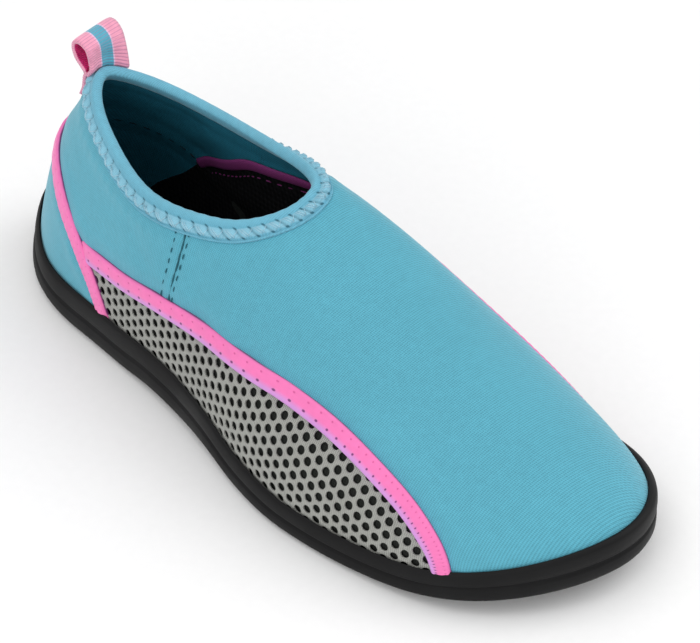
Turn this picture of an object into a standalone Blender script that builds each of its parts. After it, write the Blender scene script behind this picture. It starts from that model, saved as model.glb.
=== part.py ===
"""Slip-on water shoe for the right foot, standing empty on its sole.

Toe along +X, wearer's left (the medial side) along +Y, up +Z, metres.
The origin lies on the ground below the middle of the shoe's box.

The whole shoe hangs on one surface. A turn value runs once round the shoe: 0 at the back of
the heel, then the lateral side, 0.5 at the toe tip, then the medial side and back to 1.
At each turn a rib climbs from the feather edge, where the upper meets the sole, to the collar.
Every piece takes its place from that surface, at some distance outside or inside it.
"""
import math

import bmesh
import bpy
import numpy as np

# Size of the last and of the sole
LENGTH = 0.250
BALL_WIDTH = 0.096
HEEL_WIDTH = 0.062
INSTEP_HEIGHT = 0.0745
HEEL_HEIGHT = 0.0755

# Sole
FLOOR_THICKNESS = 0.0055
SIDE_HEIGHT = 0.0180
FOOT_INSET = 0.0020
TOE_SPRING = 0.0090
HEEL_BEVEL = 0.0028
HEEL_LEAN = 0.0026
ARCH_RISE = 0.0014
EDGE_ROUND = 0.0026
SIDE_GROOVE = 0.0005
TREAD_DEPTH = 0.0016
TREAD_GROOVE_WIDTH = 0.0030
TREAD_PITCH = 0.0125

# Upper and what is sewn to it
WALL = 0.0022
INSOLE_THICKNESS = 0.0032
INSOLE_EDGE_ROUND = 0.0008
BINDING_WIDTH = 0.0068
BINDING_FOLD = 0.0030
BINDING_THICKNESS = 0.0007
SIDE_TAPE_WIDTH = 0.0066
HEEL_TAPE_WIDTH = 0.0058
TAPE_THICKNESS = 0.0008
WEBBING_WIDTH = 0.0150
WEBBING_THICKNESS = 0.0012
LOOP_RISE = 0.0097
LOOP_LEAN = 0.0094
LOOP_SIDESTEP = 0.0040

# Clearance that touching pieces keep
SEAT_GAP = 0.0003
# What a sewn-on piece keeps from the curved shell below it
SEWN_GAP = 0.0004

# Number of ribs round the shoe
RIB_COUNT = 64

# Outline of the sole seen from above: turn, share of the length, share of the local width.
# Negative widths are on the lateral side.
OUTLINE = (
    (0.000, 0.00, 0.000),
    (0.050, 0.03, -0.262),
    (0.110, 0.12, -0.496),
    (0.190, 0.29, -0.545),
    (0.260, 0.44, -0.502),
    (0.330, 0.61, -0.518),
    (0.395, 0.77, -0.481),
    (0.450, 0.92, -0.315),
    (0.500, 1.00, 0.085),
    (0.550, 0.92, 0.388),
    (0.605, 0.77, 0.458),
    (0.670, 0.61, 0.424),
    (0.740, 0.44, 0.362),
    (0.810, 0.29, 0.415),
    (0.890, 0.12, 0.476),
    (0.950, 0.03, 0.298),
)

# Ribs of the last. Columns: turn; collar edge as shares of the length, of the heel width and of
# the local height; rise of the side wall as a share of the local height; how far it flares as a
# share of the ball width; how far the rib runs in below the collar as a share of the length;
# its slope at the collar in degrees.
RIBS = (
    (0.000, 0.104, 0.032, 0.964, 0.450, -0.058, 0.108, 59),
    (0.050, 0.134, -0.121, 0.938, 0.437, -0.060, 0.104, 54),
    (0.110, 0.204, -0.262, 0.890, 0.386, -0.004, 0.068, 64),
    (0.190, 0.308, -0.372, 0.868, 0.344, 0.023, 0.052, 62),
    (0.260, 0.390, -0.330, 0.893, 0.338, 0.038, 0.068, 54),
    (0.330, 0.437, -0.250, 0.922, 0.337, 0.063, 0.108, 42),
    (0.395, 0.464, -0.140, 0.955, 0.323, 0.067, 0.176, 29),
    (0.450, 0.475, -0.035, 0.976, 0.296, 0.090, 0.224, 26),
    (0.500, 0.478, 0.056, 1.000, 0.300, 0.090, 0.236, 23),
    (0.550, 0.471, 0.134, 1.018, 0.190, 0.042, 0.234, 20),
    (0.605, 0.445, 0.196, 1.010, 0.135, -0.030, 0.188, 14),
    (0.670, 0.396, 0.260, 0.965, 0.335, 0.028, 0.146, 21),
    (0.740, 0.316, 0.320, 0.901, 0.390, 0.044, 0.080, 46),
    (0.810, 0.228, 0.334, 0.868, 0.386, 0.046, 0.056, 62),
    (0.890, 0.154, 0.260, 0.894, 0.425, 0.010, 0.068, 70),
    (0.950, 0.118, 0.161, 0.932, 0.450, -0.052, 0.096, 60),
)

# Height of the sole's side: share of the length, share of SIDE_HEIGHT
SIDE_HEIGHTS = (
    (0.00, 1.00),
    (0.12, 0.88),
    (0.40, 0.88),
    (0.65, 0.62),
    (0.85, 0.59),
    (1.00, 0.76),
)

# Side of the sole from the bottom edge up: share of the side's height, share of SIDE_GROOVE
# that the surface lies inside the outline, share of EDGE_ROUND that it lies inside it
SIDE_PROFILE = (
    (0.00, 0.0, 1.0),
    (0.07, 0.0, 0.3),
    (0.18, 0.0, 0.0),
    (0.44, 0.0, 0.0),
    (0.48, 1.0, 0.0),
    (0.56, 1.0, 0.0),
    (0.60, 0.1, 0.0),
    (0.92, 0.3, 0.0),
    (1.00, 0.6, 0.0),
)

# Seams on the last: turn and climb, the share of the way up a rib
LATERAL_TAPE = (
    (0.144, 0.358), (0.172, 0.382), (0.205, 0.412), (0.243, 0.448), (0.290, 0.490),
    (0.330, 0.511), (0.364, 0.508), (0.396, 0.458), (0.419, 0.348), (0.429, 0.200),
    (0.432, 0.000),
)
MEDIAL_TAPE = (
    (0.856, 0.352), (0.828, 0.370), (0.795, 0.398), (0.757, 0.443), (0.715, 0.490),
    (0.675, 0.520), (0.642, 0.530), (0.612, 0.500), (0.592, 0.410), (0.583, 0.260),
    (0.582, 0.000),
)
# The heel tape's lateral half; the medial half mirrors it
HEEL_TAPE = (
    (0.000, 0.560), (0.040, 0.532), (0.087, 0.478), (0.128, 0.400), (0.154, 0.290),
    (0.169, 0.170), (0.182, 0.000),
)

COLOURS = {
    "outsole": ((0.012, 0.012, 0.013), 0.45),
    "insole": ((0.010, 0.010, 0.012), 0.90),
    "upper": ((0.105, 0.420, 0.560), 0.80),
    "mesh_panel": ((0.420, 0.410, 0.390), 0.85),
    "tape": ((0.860, 0.200, 0.560), 0.60),
    "binding": ((0.150, 0.500, 0.640), 0.75),
    "webbing": ((0.840, 0.330, 0.520), 0.70),
}


def closed_spline(rows):
    """Smooth closed curve through rows of (turn, value, ...), as a function of the turn."""
    table = np.array(rows, float)
    knots = table[:, 0]
    values = table[:, 1:]
    count = len(knots)
    steps = np.diff(np.append(knots, knots[0] + 1.0))
    matrix = np.zeros((count, count))
    target = np.zeros_like(values)
    for i in range(count):
        before = steps[i - 1]
        after = steps[i]
        following = (i + 1) % count
        matrix[i, i - 1] += before
        matrix[i, i] += 2.0 * (before + after)
        matrix[i, following] += after
        target[i] = 6.0 * ((values[following] - values[i]) / after
                           - (values[i] - values[i - 1]) / before)
    bends = np.linalg.solve(matrix, target)

    def curve(turn):
        turn = np.mod(np.asarray(turn, float) - knots[0], 1.0) + knots[0]
        k = np.clip(np.searchsorted(knots, turn, side="right") - 1, 0, count - 1)
        n = (k + 1) % count
        step = steps[k][..., None]
        left = (turn - knots[k])[..., None]
        right = step - left
        cubic = (bends[k] * right ** 3 + bends[n] * left ** 3) / (6.0 * step)
        line = ((values[k] / step - bends[k] * step / 6.0) * right
                + (values[n] / step - bends[n] * step / 6.0) * left)
        return cubic + line

    return curve


def open_curve(rows, count):
    """Count points evenly along a smooth curve through hand-placed points."""
    points = np.array(rows, float)
    padded = np.vstack([2 * points[0] - points[1], points, 2 * points[-1] - points[-2]])
    fine = []
    for i in range(len(points) - 1):
        a, b, c, d = padded[i:i + 4]
        for s in np.linspace(0.0, 1.0, 12, endpoint=False):
            fine.append(0.5 * (2 * b + (c - a) * s + (2 * a - 5 * b + 4 * c - d) * s ** 2
                               + (3 * b - a - 3 * c + d) * s ** 3))
    fine.append(points[-1])
    fine = np.array(fine)
    reach = np.concatenate([[0.0], np.cumsum(np.linalg.norm(np.diff(fine, axis=0), axis=1))])
    wanted = np.linspace(0.0, reach[-1], count)
    return np.column_stack([np.interp(wanted, reach, fine[:, k]) for k in range(points.shape[1])])


def ease(share):
    """Smooth step from 0 to 1."""
    share = np.clip(share, 0.0, 1.0)
    return share * share * (3.0 - 2.0 * share)


OUTLINE_CURVE = closed_spline(OUTLINE)
RIB_CURVE = closed_spline(RIBS)
# Shares of the length between which the heel width grows into the ball width
WIDEN_FROM_SHARE = 0.20
WIDEN_TO_SHARE = 0.65
# Share of the length in front of which the sole's side no longer leans in
LEAN_TO_SHARE = 0.16
# Share of the side's height from which it leans in
LEAN_FROM_SHARE = 0.18


def side_lean(x, height_share):
    """How far the sole's side leans in at a share of its height; it only does so at the heel."""
    heel = 1.0 - ease(np.asarray(x, float) / (LEAN_TO_SHARE * LENGTH))
    return HEEL_LEAN * heel * max(0.0, (height_share - LEAN_FROM_SHARE) / (1.0 - LEAN_FROM_SHARE))


def outline(turn, outset=0.0):
    """Edge of the sole seen from above, moved outwards by outset."""

    def edge(at):
        shares = OUTLINE_CURVE(at)
        blend = ease((shares[..., 0] - WIDEN_FROM_SHARE) / (WIDEN_TO_SHARE - WIDEN_FROM_SHARE))
        width = HEEL_WIDTH + (BALL_WIDTH - HEEL_WIDTH) * blend
        return np.stack([shares[..., 0] * LENGTH, shares[..., 1] * width], axis=-1)

    turn = np.asarray(turn, float)
    nudge = 1e-4
    along = edge(turn + nudge) - edge(turn - nudge)
    along /= np.linalg.norm(along, axis=-1)[..., None]
    outwards = np.stack([along[..., 1], -along[..., 0]], axis=-1)
    return edge(turn) + outwards * np.asarray(outset, float)[..., None]


def ground_gap(x):
    """Height of the sole's underside: level under heel and ball, lifted at toe, arch and back."""
    share = np.asarray(x, float) / LENGTH
    toe = TOE_SPRING * np.clip((share - 0.68) / 0.32, 0.0, None) ** 2
    back = HEEL_BEVEL * np.clip((0.10 - share) / 0.10, 0.0, None) ** 2
    arch = ARCH_RISE * ease((share - 0.28) / 0.08) * ease((0.55 - share) / 0.08)
    return toe + back + arch


def side_height(x):
    """Height of the sole's side wall at a place along the shoe."""
    table = np.array(SIDE_HEIGHTS)
    share = np.interp(np.asarray(x, float) / LENGTH, table[:, 0], table[:, 1])
    return share * SIDE_HEIGHT


def local_height(turn):
    """Heel height at the back, instep height in front."""
    blend = 0.5 - 0.5 * np.cos(2.0 * math.pi * np.asarray(turn, float))
    return HEEL_HEIGHT + (INSTEP_HEIGHT - HEEL_HEIGHT) * blend


def rib(turn, climb):
    """Point on the last: one cubic curve from the feather edge up and in to the collar."""
    turn, climb = np.broadcast_arrays(np.asarray(turn, float), np.asarray(climb, float))
    foot = outline(turn, -FOOT_INSET * np.ones_like(turn))
    base = ground_gap(foot[..., 0]) + FLOOR_THICKNESS + SEAT_GAP
    row = RIB_CURVE(turn)
    height = local_height(turn)
    collar = np.stack([row[..., 0] * LENGTH, row[..., 1] * HEEL_WIDTH], axis=-1)
    top = row[..., 2] * height
    rise = row[..., 3] * height
    flare = row[..., 4] * BALL_WIDTH
    reach = row[..., 5] * LENGTH
    slope = np.radians(row[..., 6])
    spread = np.linalg.norm(foot - collar, axis=-1)
    outwards = (foot - collar) / spread[..., None]
    weights = ((1 - climb) ** 3, 3 * climb * (1 - climb) ** 2, 3 * climb ** 2 * (1 - climb), climb ** 3)
    runs = (spread, spread + flare, reach * np.cos(slope), np.zeros_like(spread))
    lifts = (base, base + rise, top - reach * np.sin(slope), top)
    run = sum(w * r for w, r in zip(weights, runs))
    lift = sum(w * z for w, z in zip(weights, lifts))
    return np.concatenate([collar + outwards * run[..., None], lift[..., None]], axis=-1)


def tangents(turn, climb):
    """How the last moves with the turn and with the climb."""
    nudge = 1e-3
    turn = np.asarray(turn, float)
    climb = np.asarray(climb, float)
    round_shoe = (rib(turn + nudge, climb) - rib(turn - nudge, climb)) / (2 * nudge)
    up_rib = (rib(turn, climb + nudge) - rib(turn, climb - nudge)) / (2 * nudge)
    return round_shoe, up_rib


def skin(turn, climb, outset=0.0):
    """Point outside (or, with a negative outset, inside) the last."""
    round_shoe, up_rib = tangents(turn, climb)
    normal = np.cross(round_shoe, up_rib)
    normal /= np.linalg.norm(normal, axis=-1)[..., None]
    return rib(turn, climb) + normal * np.asarray(outset, float)[..., None]


def climb_at(turn, height):
    """Share of the rib at which it passes a height above the ground."""
    turn = np.asarray(turn, float)
    low = np.zeros_like(turn)
    high = np.full_like(turn, 0.8)
    for _ in range(30):
        middle = 0.5 * (low + high)
        below = rib(turn, middle)[..., 2] < height
        low = np.where(below, middle, low)
        high = np.where(below, high, middle)
    return 0.5 * (low + high)


def climb_below_collar(turn, distance):
    """Share of the rib that lies a distance, measured along it, below the collar."""
    turn = np.asarray(turn, float)
    climbs = np.linspace(0.5, 1.0, 61)
    points = rib(turn[:, None], climbs[None, :])
    runs = np.linalg.norm(np.diff(points, axis=1), axis=-1)
    left = np.cumsum(runs[:, ::-1], axis=1)[:, ::-1]
    left = np.concatenate([left, np.zeros((len(turn), 1))], axis=1)
    return np.array([np.interp(distance, row[::-1], climbs[::-1]) for row in left])


def beside(path, distance):
    """Points at a distance beside a seam, on the last. Plus is to the left, seen from outside."""
    turn, climb = path[:, 0], path[:, 1]
    round_shoe, up_rib = tangents(turn, climb)
    step = np.gradient(path, axis=0)
    along = round_shoe * step[:, :1] + up_rib * step[:, 1:]
    normal = np.cross(round_shoe, up_rib)
    sideways = np.cross(normal, along)
    sideways /= np.linalg.norm(sideways, axis=1)[:, None]
    moved = []
    for r, u, s, start in zip(round_shoe, up_rib, sideways, path):
        shift = np.linalg.lstsq(np.column_stack([r, u]), s * distance, rcond=None)[0]
        moved.append(start + shift)
    return np.array(moved)


def turns():
    """Turn of every rib, starting at the back of the heel."""
    return np.arange(RIB_COUNT) / RIB_COUNT


def material(name):
    """Plain material of one piece."""
    colour, roughness = COLOURS[name]
    made = bpy.data.materials.get(name)
    if made is None:
        made = bpy.data.materials.new(name)
        made.use_nodes = True
        shader = made.node_tree.nodes["Principled BSDF"]
        shader.inputs["Base Color"].default_value = (*colour, 1.0)
        shader.inputs["Roughness"].default_value = roughness
        shader.inputs["Metallic"].default_value = 0.0
        made.diffuse_color = (*colour, 1.0)
    return made


def finish(mesh_data, name, material_name, sharp_degrees=40.0):
    """Turn a bmesh into a named, smooth-shaded object below the shoe's own empty."""
    bmesh.ops.recalc_face_normals(mesh_data, faces=mesh_data.faces)
    mesh = bpy.data.meshes.new(name)
    mesh_data.to_mesh(mesh)
    mesh_data.free()
    mesh.shade_smooth()
    mesh.set_sharp_from_angle(angle=math.radians(sharp_degrees))
    made = bpy.data.objects.new(name, mesh)
    bpy.context.collection.objects.link(made)
    mesh.materials.append(material(material_name))
    return made


def add_rings(mesh_data, rings):
    """One vertex for each point of each ring."""
    return [[mesh_data.verts.new(point) for point in ring] for ring in rings]


def join_rings(mesh_data, first, second, closed=True):
    """Quads between two rings of the same count."""
    count = len(first)
    last = count if closed else count - 1
    for i in range(last):
        n = (i + 1) % count
        mesh_data.faces.new((first[i], first[n], second[n], second[i]))


def tube_of_rings(rings):
    """Closed ring-shaped body whose section runs through every ring and back to the first."""
    mesh_data = bmesh.new()
    loops = add_rings(mesh_data, rings)
    for i, loop in enumerate(loops):
        join_rings(mesh_data, loop, loops[(i + 1) % len(loops)])
    return mesh_data


def span_across(mesh_data, ring):
    """Close a ring round the shoe with strips that run straight from side to side."""
    count = len(ring)
    half = count // 2
    mesh_data.faces.new((ring[0], ring[1], ring[count - 1]))
    for i in range(1, half - 1):
        mesh_data.faces.new((ring[i], ring[i + 1], ring[count - i - 1], ring[count - i]))
    mesh_data.faces.new((ring[half - 1], ring[half], ring[half + 1]))


def slab(outer, inner):
    """Closed body between two grids of points of the same size."""
    mesh_data = bmesh.new()
    top = add_rings(mesh_data, outer)
    bottom = add_rings(mesh_data, inner)
    for grid in (top, bottom):
        for i in range(len(grid) - 1):
            join_rings(mesh_data, grid[i], grid[i + 1], closed=False)
    edges = (
        (top[0], bottom[0]),
        (top[-1], bottom[-1]),
        ([row[0] for row in top], [row[0] for row in bottom]),
        ([row[-1] for row in top], [row[-1] for row in bottom]),
    )
    for first, second in edges:
        join_rings(mesh_data, first, second, closed=False)
    return mesh_data


def cut(target, cutter_mesh, name):
    """Take a body away from a piece, and keep the cutter as a hidden guide."""
    cutter = finish(cutter_mesh, name, "outsole")
    cutter.hide_render = True
    cutter.display_type = "WIRE"
    boolean = target.modifiers.new(name, "BOOLEAN")
    boolean.operation = "DIFFERENCE"
    boolean.solver = "EXACT"
    boolean.object = cutter
    return cutter


def with_height(plan, height):
    """Points at a height above the sole's underside."""
    return np.column_stack([plan, ground_gap(plan[:, 0]) + height])


def make_outsole():
    """Cup sole: stepped side, lip along the upper, floor, and cross grooves underneath."""
    at = turns()
    edge = outline(at)
    tall = side_height(edge[:, 0])
    rings = []
    for height_share, groove_share, round_share in SIDE_PROFILE:
        inset = SIDE_GROOVE * groove_share + EDGE_ROUND * round_share
        inset = inset + side_lean(edge[:, 0], height_share)
        rings.append(with_height(outline(at, -inset), height_share * tall))
    lip_climb = climb_at(at, ground_gap(edge[:, 0]) + tall)
    for share in (1.0, 0.5, 0.0):
        ring = skin(at, lip_climb * share, SEAT_GAP)
        if share == 1.0:
            ring[:, 2] = rings[-1][:, 2]
        rings.append(ring)
    rings[-1][:, 2] = ground_gap(rings[-1][:, 0]) + FLOOR_THICKNESS
    mesh_data = bmesh.new()
    loops = add_rings(mesh_data, rings)
    for first, second in zip(loops, loops[1:]):
        join_rings(mesh_data, first, second)
    span_across(mesh_data, loops[0])
    span_across(mesh_data, loops[-1])
    sole = finish(mesh_data, "outsole", "outsole", 30.0)
    return [sole, cut(sole, make_tread_cutters(), "tread_grooves")]


# Shares of the length between which the cross grooves run: under the heel, under the ball
TREAD_GROUPS = ((0.13, 0.25), (0.57, 0.86))


def tread_places():
    """Where the cross grooves run, as x."""
    places = []
    for start, end in TREAD_GROUPS:
        room = (end - start) * LENGTH
        count = max(1, int(room / TREAD_PITCH) + 1)
        for i in range(count):
            places.append(start * LENGTH + i * TREAD_PITCH)
    return places


def make_tread_cutters():
    """Bars that cut the cross grooves, each following the underside where it lies."""
    mesh_data = bmesh.new()
    half = 0.5 * TREAD_GROOVE_WIDTH
    margin = 2.0 * EDGE_ROUND + FOOT_INSET
    fine = np.linspace(0.0, 0.5, 400)
    near = outline(fine)
    far = outline(1.0 - fine)
    for x in tread_places():
        low_y = np.interp(x, near[:, 0], near[:, 1]) + margin
        high_y = np.interp(x, far[:, 0], far[:, 1]) - margin
        top = float(ground_gap(x)) + TREAD_DEPTH
        corners = ((x - half, low_y), (x + half, low_y), (x + half, high_y), (x - half, high_y))
        lower = [mesh_data.verts.new((cx, cy, -SIDE_HEIGHT)) for cx, cy in corners]
        upper = [mesh_data.verts.new((cx, cy, top)) for cx, cy in corners]
        mesh_data.faces.new(lower)
        mesh_data.faces.new(upper)
        join_rings(mesh_data, lower, upper)
    return mesh_data


def make_insole():
    """Footbed on the cup's floor, inside the upper's feather edge."""
    at = turns()
    low = FLOOR_THICKNESS + SEAT_GAP
    high = low + INSOLE_THICKNESS
    lean = side_lean(outline(at)[:, 0], high / SIDE_HEIGHT)
    inset = FOOT_INSET + WALL + 2.0 * SEAT_GAP + lean
    plan = outline(at, -inset)
    inner_plan = outline(at, -(inset + INSOLE_EDGE_ROUND))
    mesh_data = bmesh.new()
    loops = add_rings(mesh_data, [with_height(plan, low), with_height(plan, high - INSOLE_EDGE_ROUND),
                                  with_height(inner_plan, high)])
    join_rings(mesh_data, loops[0], loops[1])
    join_rings(mesh_data, loops[1], loops[2])
    span_across(mesh_data, loops[0])
    span_across(mesh_data, loops[2])
    return finish(mesh_data, "insole", "insole", 30.0)


SHELL_CLIMBS = (0.0, 0.05, 0.10, 0.16, 0.23, 0.31, 0.39, 0.48, 0.57, 0.66, 0.75, 0.84, 0.92, 1.0)


def make_upper():
    """Neoprene shell with its real wall, open at the collar and underneath, with two windows."""
    at = turns()
    rings = [skin(at, climb * np.ones_like(at)) for climb in SHELL_CLIMBS]
    rings += [skin(at, climb * np.ones_like(at), -WALL) for climb in SHELL_CLIMBS[::-1]]
    upper = finish(tube_of_rings(rings), "upper", "upper")
    made = [upper]
    for side in ("lateral", "medial"):
        body = window_body(side, SEAT_GAP, 2.0 * SEAT_GAP + WALL, 2.0 * SEAT_GAP)
        made.append(cut(upper, body, side + "_window"))
    return made


def seam_table(side):
    """The side tape's hand-placed line, and the sign that turns a step beside it upwards."""
    if side == "lateral":
        return LATERAL_TAPE, 1.0
    return MEDIAL_TAPE, -1.0


def heel_line(side, count):
    """Half of the heel tape's line, from the back of the heel down to the feather edge."""
    line = open_curve(HEEL_TAPE, count)
    if side == "medial":
        line[:, 0] = 1.0 - line[:, 0]
    return line


WINDOW_COLUMNS = 24
WINDOW_ROWS = 5
# How many of the columns end on the heel tape instead of the feather edge
HEEL_COLUMNS = 5


def window_grid(side, grow, foot_climb):
    """Turn and climb over a side window, moved outwards by grow all round."""
    table, sign = seam_table(side)
    top = beside(open_curve(table, WINDOW_COLUMNS), sign * grow)
    heel = beside(heel_line(side, 120), -sign * grow)
    first, second = rib(top[:2, 0], top[:2, 1])
    top[0] += (top[0] - top[1]) * 2.0 * grow / np.linalg.norm(second - first)
    below = heel[heel[:, 1] < top[0, 1] - 0.03]
    foot_start = below[-1, 0]
    lower = []
    for column in range(WINDOW_COLUMNS):
        if column < HEEL_COLUMNS:
            spot = column / HEEL_COLUMNS * (len(below) - 1)
            lower.append([np.interp(spot, np.arange(len(below)), below[:, k]) for k in (0, 1)])
        else:
            share = (column - HEEL_COLUMNS) / (WINDOW_COLUMNS - 1 - HEEL_COLUMNS)
            lower.append([foot_start + (top[-1, 0] - foot_start) * share, foot_climb])
    top[-1, 1] = max(top[-1, 1], 0.03)
    lower = np.array(lower)
    grid = []
    for share in np.linspace(0.0, 1.0, WINDOW_ROWS + 1):
        grid.append(top + (lower - top) * share)
    return grid


def window_body(side, grow, depth, proud):
    """Closed body over a side window, from depth inside the last to proud outside it."""
    foot_climb = -0.04 if grow > 0.0 else 0.0
    grid = window_grid(side, grow, foot_climb)
    outer = [skin(row[:, 0], row[:, 1], proud) for row in grid]
    inner = [skin(row[:, 0], row[:, 1], -depth) for row in grid]
    return slab(outer, inner)


def make_mesh_panel(side):
    """Spacer mesh that fills a window, a little thinner than the shell round it."""
    body = window_body(side, 0.0, WALL - SEAT_GAP, -SEAT_GAP)
    return finish(body, "mesh_panel_" + side, "mesh_panel")


def lip_climb(turn):
    """Share of the rib at which a sewn piece clears the sole's lip."""
    x = outline(turn)[..., 0]
    return climb_at(turn, ground_gap(x) + side_height(x) + 2.0 * SEWN_GAP)


def above_lip(line, count):
    """The part of a seam line that shows above the sole's lip, in count even steps."""
    fine = open_curve(line, 400)
    seen = fine[fine[:, 1] > lip_climb(fine[:, 0])]
    return open_curve(seen[np.linspace(0, len(seen) - 1, count).astype(int)], count)


def tape_strip(line, width, count):
    """Flat tape of even thickness along a seam line on the last."""
    path = above_lip(line, count)
    outer = []
    inner = []
    for share in (-0.5, 0.0, 0.5):
        edge = beside(path, share * width) if share else path.copy()
        edge[:, 1] = np.maximum(edge[:, 1], lip_climb(edge[:, 0]))
        outer.append(skin(edge[:, 0], edge[:, 1], SEWN_GAP + TAPE_THICKNESS))
        inner.append(skin(edge[:, 0], edge[:, 1], SEWN_GAP))
    return slab(outer, inner)


def make_side_tape(side):
    """Tape over the upper edge of a mesh panel; it starts beside the heel tape."""
    table, _ = seam_table(side)
    line = open_curve(table, 200)
    heel = heel_line(side, 200)
    heel_points = rib(heel[:, 0], heel[:, 1])
    clear = np.ones(len(line), bool)
    for share in (-0.5, 0.5):
        edge = beside(line, share * SIDE_TAPE_WIDTH)
        points = rib(edge[:, 0], edge[:, 1])
        apart = np.linalg.norm(points[:, None] - heel_points[None], axis=-1).min(axis=1)
        clear &= apart > 0.5 * HEEL_TAPE_WIDTH + SEWN_GAP
    line = line[clear]
    return finish(tape_strip(line, SIDE_TAPE_WIDTH, 34), "side_tape_" + side, "tape")


def make_heel_tape():
    """One tape round the back of the heel, down to the sole on both sides."""
    half = np.array(HEEL_TAPE)
    other = half[:0:-1] * np.array([-1.0, 1.0])
    line = np.vstack([other, half])
    return finish(tape_strip(line, HEEL_TAPE_WIDTH, 40), "heel_tape", "tape")


def make_collar_binding():
    """Band folded over the collar edge, outside and inside."""
    at = turns()
    ones = np.ones_like(at)
    low = climb_below_collar(at, BINDING_WIDTH)
    fold = climb_below_collar(at, BINDING_FOLD)
    middle = 0.5 * (low + 1.0)
    face = SEWN_GAP + BINDING_THICKNESS
    round_shoe, up_rib = tangents(at, ones)
    upwards = up_rib / np.linalg.norm(up_rib, axis=1)[:, None]
    edge_middle = skin(at, ones, -0.5 * WALL)
    outwards = skin(at, ones, 1.0) - skin(at, ones, 0.0)
    rings = [skin(at, low, face), skin(at, middle, face), skin(at, ones, face)]
    for degrees in (40.0, 90.0, 140.0):
        angle = math.radians(degrees)
        rings.append(edge_middle
                     + upwards * (SEAT_GAP + 1.3 * BINDING_THICKNESS) * math.sin(angle)
                     + outwards * (0.5 * WALL + face) * math.cos(angle))
    for climb in (ones, fold):
        rings.append(skin(at, climb, -WALL - face))
    rings.append(skin(at, fold, -WALL - SEWN_GAP))
    rings.append(skin(at, ones, -WALL - SEWN_GAP) + upwards * SEAT_GAP)
    rings.append(skin(at, ones, SEWN_GAP) + upwards * SEAT_GAP)
    rings.append(skin(at, low, SEWN_GAP))
    return finish(tube_of_rings(rings), "collar_binding", "binding")


# Webbing sewn to the heel, from its hidden end up to the collar edge: shares of BINDING_WIDTH
# below the collar edge
LOOP_INNER_LAYER = (0.55, 0.28, 0.00)
# Side view of the loop's free part, up from the binding, over the ridge and down behind: shares
# of LOOP_LEAN backwards and of LOOP_RISE upwards from the collar edge
LOOP_SIDE = (
    (0.21, 0.34),
    (0.22, 0.60),
    (0.29, 0.85),
    (0.50, 1.00),
    (0.75, 1.02),
    (0.95, 0.90),
    (1.02, 0.66),
    (1.00, 0.40),
    (0.91, 0.15),
)
# Outer layer down to its end on the upper: share of BINDING_WIDTH below the collar edge, and how
# much of the height of the inner layer and the binding it still lies over
LOOP_OUTER_LAYER = (
    (0.45, 1.00),
    (0.72, 0.80),
    (1.00, 0.52),
    (1.40, 0.16),
    (1.90, 0.00),
)
# How much higher the loop's medial edge stands, as a share of the distance across
LOOP_TILT = 0.11
# Over how many rows the webbing goes from the heel's curve to straight
LOOP_BLEND_ROWS = 4
LOOP_COLUMNS = 5


def heel_row(across, share, outset):
    """Webbing lying on the curved heel at a share of BINDING_WIDTH below the collar edge."""
    climb = climb_below_collar(np.zeros(1), share * BINDING_WIDTH)[0]
    spots = np.linspace(-0.08, 0.08, 81)
    points = skin(spots, climb * np.ones_like(spots), outset)
    runs = np.concatenate([[0.0], np.cumsum(np.linalg.norm(np.diff(points, axis=0), axis=1))])
    runs -= runs[len(spots) // 2]
    places = across * WEBBING_WIDTH - LOOP_SIDESTEP
    return np.column_stack([np.interp(places, runs, points[:, k]) for k in range(3)])


def loop_sheet(across):
    """Middle surface of the webbing, row by row from its inner end to its outer end."""
    over_upper = SEWN_GAP + 0.5 * WEBBING_THICKNESS
    over_binding = over_upper + SEWN_GAP + BINDING_THICKNESS
    over_layer = over_binding + SEWN_GAP + WEBBING_THICKNESS
    rows = [heel_row(across, share, over_binding) for share in LOOP_INNER_LAYER]
    outer = []
    for share, lift in LOOP_OUTER_LAYER:
        outer.append(heel_row(across, share, over_upper + lift * (over_layer - over_upper)))
    straight = np.outer(-across * WEBBING_WIDTH, np.array([0.0, 1.0, LOOP_TILT]))
    middle = len(across) // 2
    bent_inner = rows[-1] - rows[-1][middle] - straight
    bent_outer = outer[0] - outer[0][middle] - straight
    collar = rib(0.0, 1.0)
    count = len(LOOP_SIDE)
    for i, (lean, rise) in enumerate(LOOP_SIDE):
        centre = collar + np.array([-lean * LOOP_LEAN, LOOP_SIDESTEP, rise * LOOP_RISE])
        inner_share = ease(1.0 - (i + 1) / LOOP_BLEND_ROWS)
        outer_share = ease(1.0 - (count - i) / LOOP_BLEND_ROWS)
        rows.append(centre + straight + bent_inner * inner_share + bent_outer * outer_share)
    return np.array(rows + outer)


def make_pull_loop():
    """Webbing loop behind the collar, both ends sewn to the outside of the heel."""
    sheet = loop_sheet(np.linspace(-0.5, 0.5, LOOP_COLUMNS))
    along = np.gradient(sheet, axis=0)
    sideways = np.gradient(sheet, axis=1)
    normal = np.cross(along, sideways)
    normal /= np.linalg.norm(normal, axis=-1)[..., None]
    outer = sheet + normal * 0.5 * WEBBING_THICKNESS
    inner = sheet - normal * 0.5 * WEBBING_THICKNESS
    return finish(slab(outer, inner), "pull_loop", "webbing")


def clear_scene():
    """Start from an empty scene."""
    for old in list(bpy.data.objects):
        bpy.data.objects.remove(old, do_unlink=True)


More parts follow.
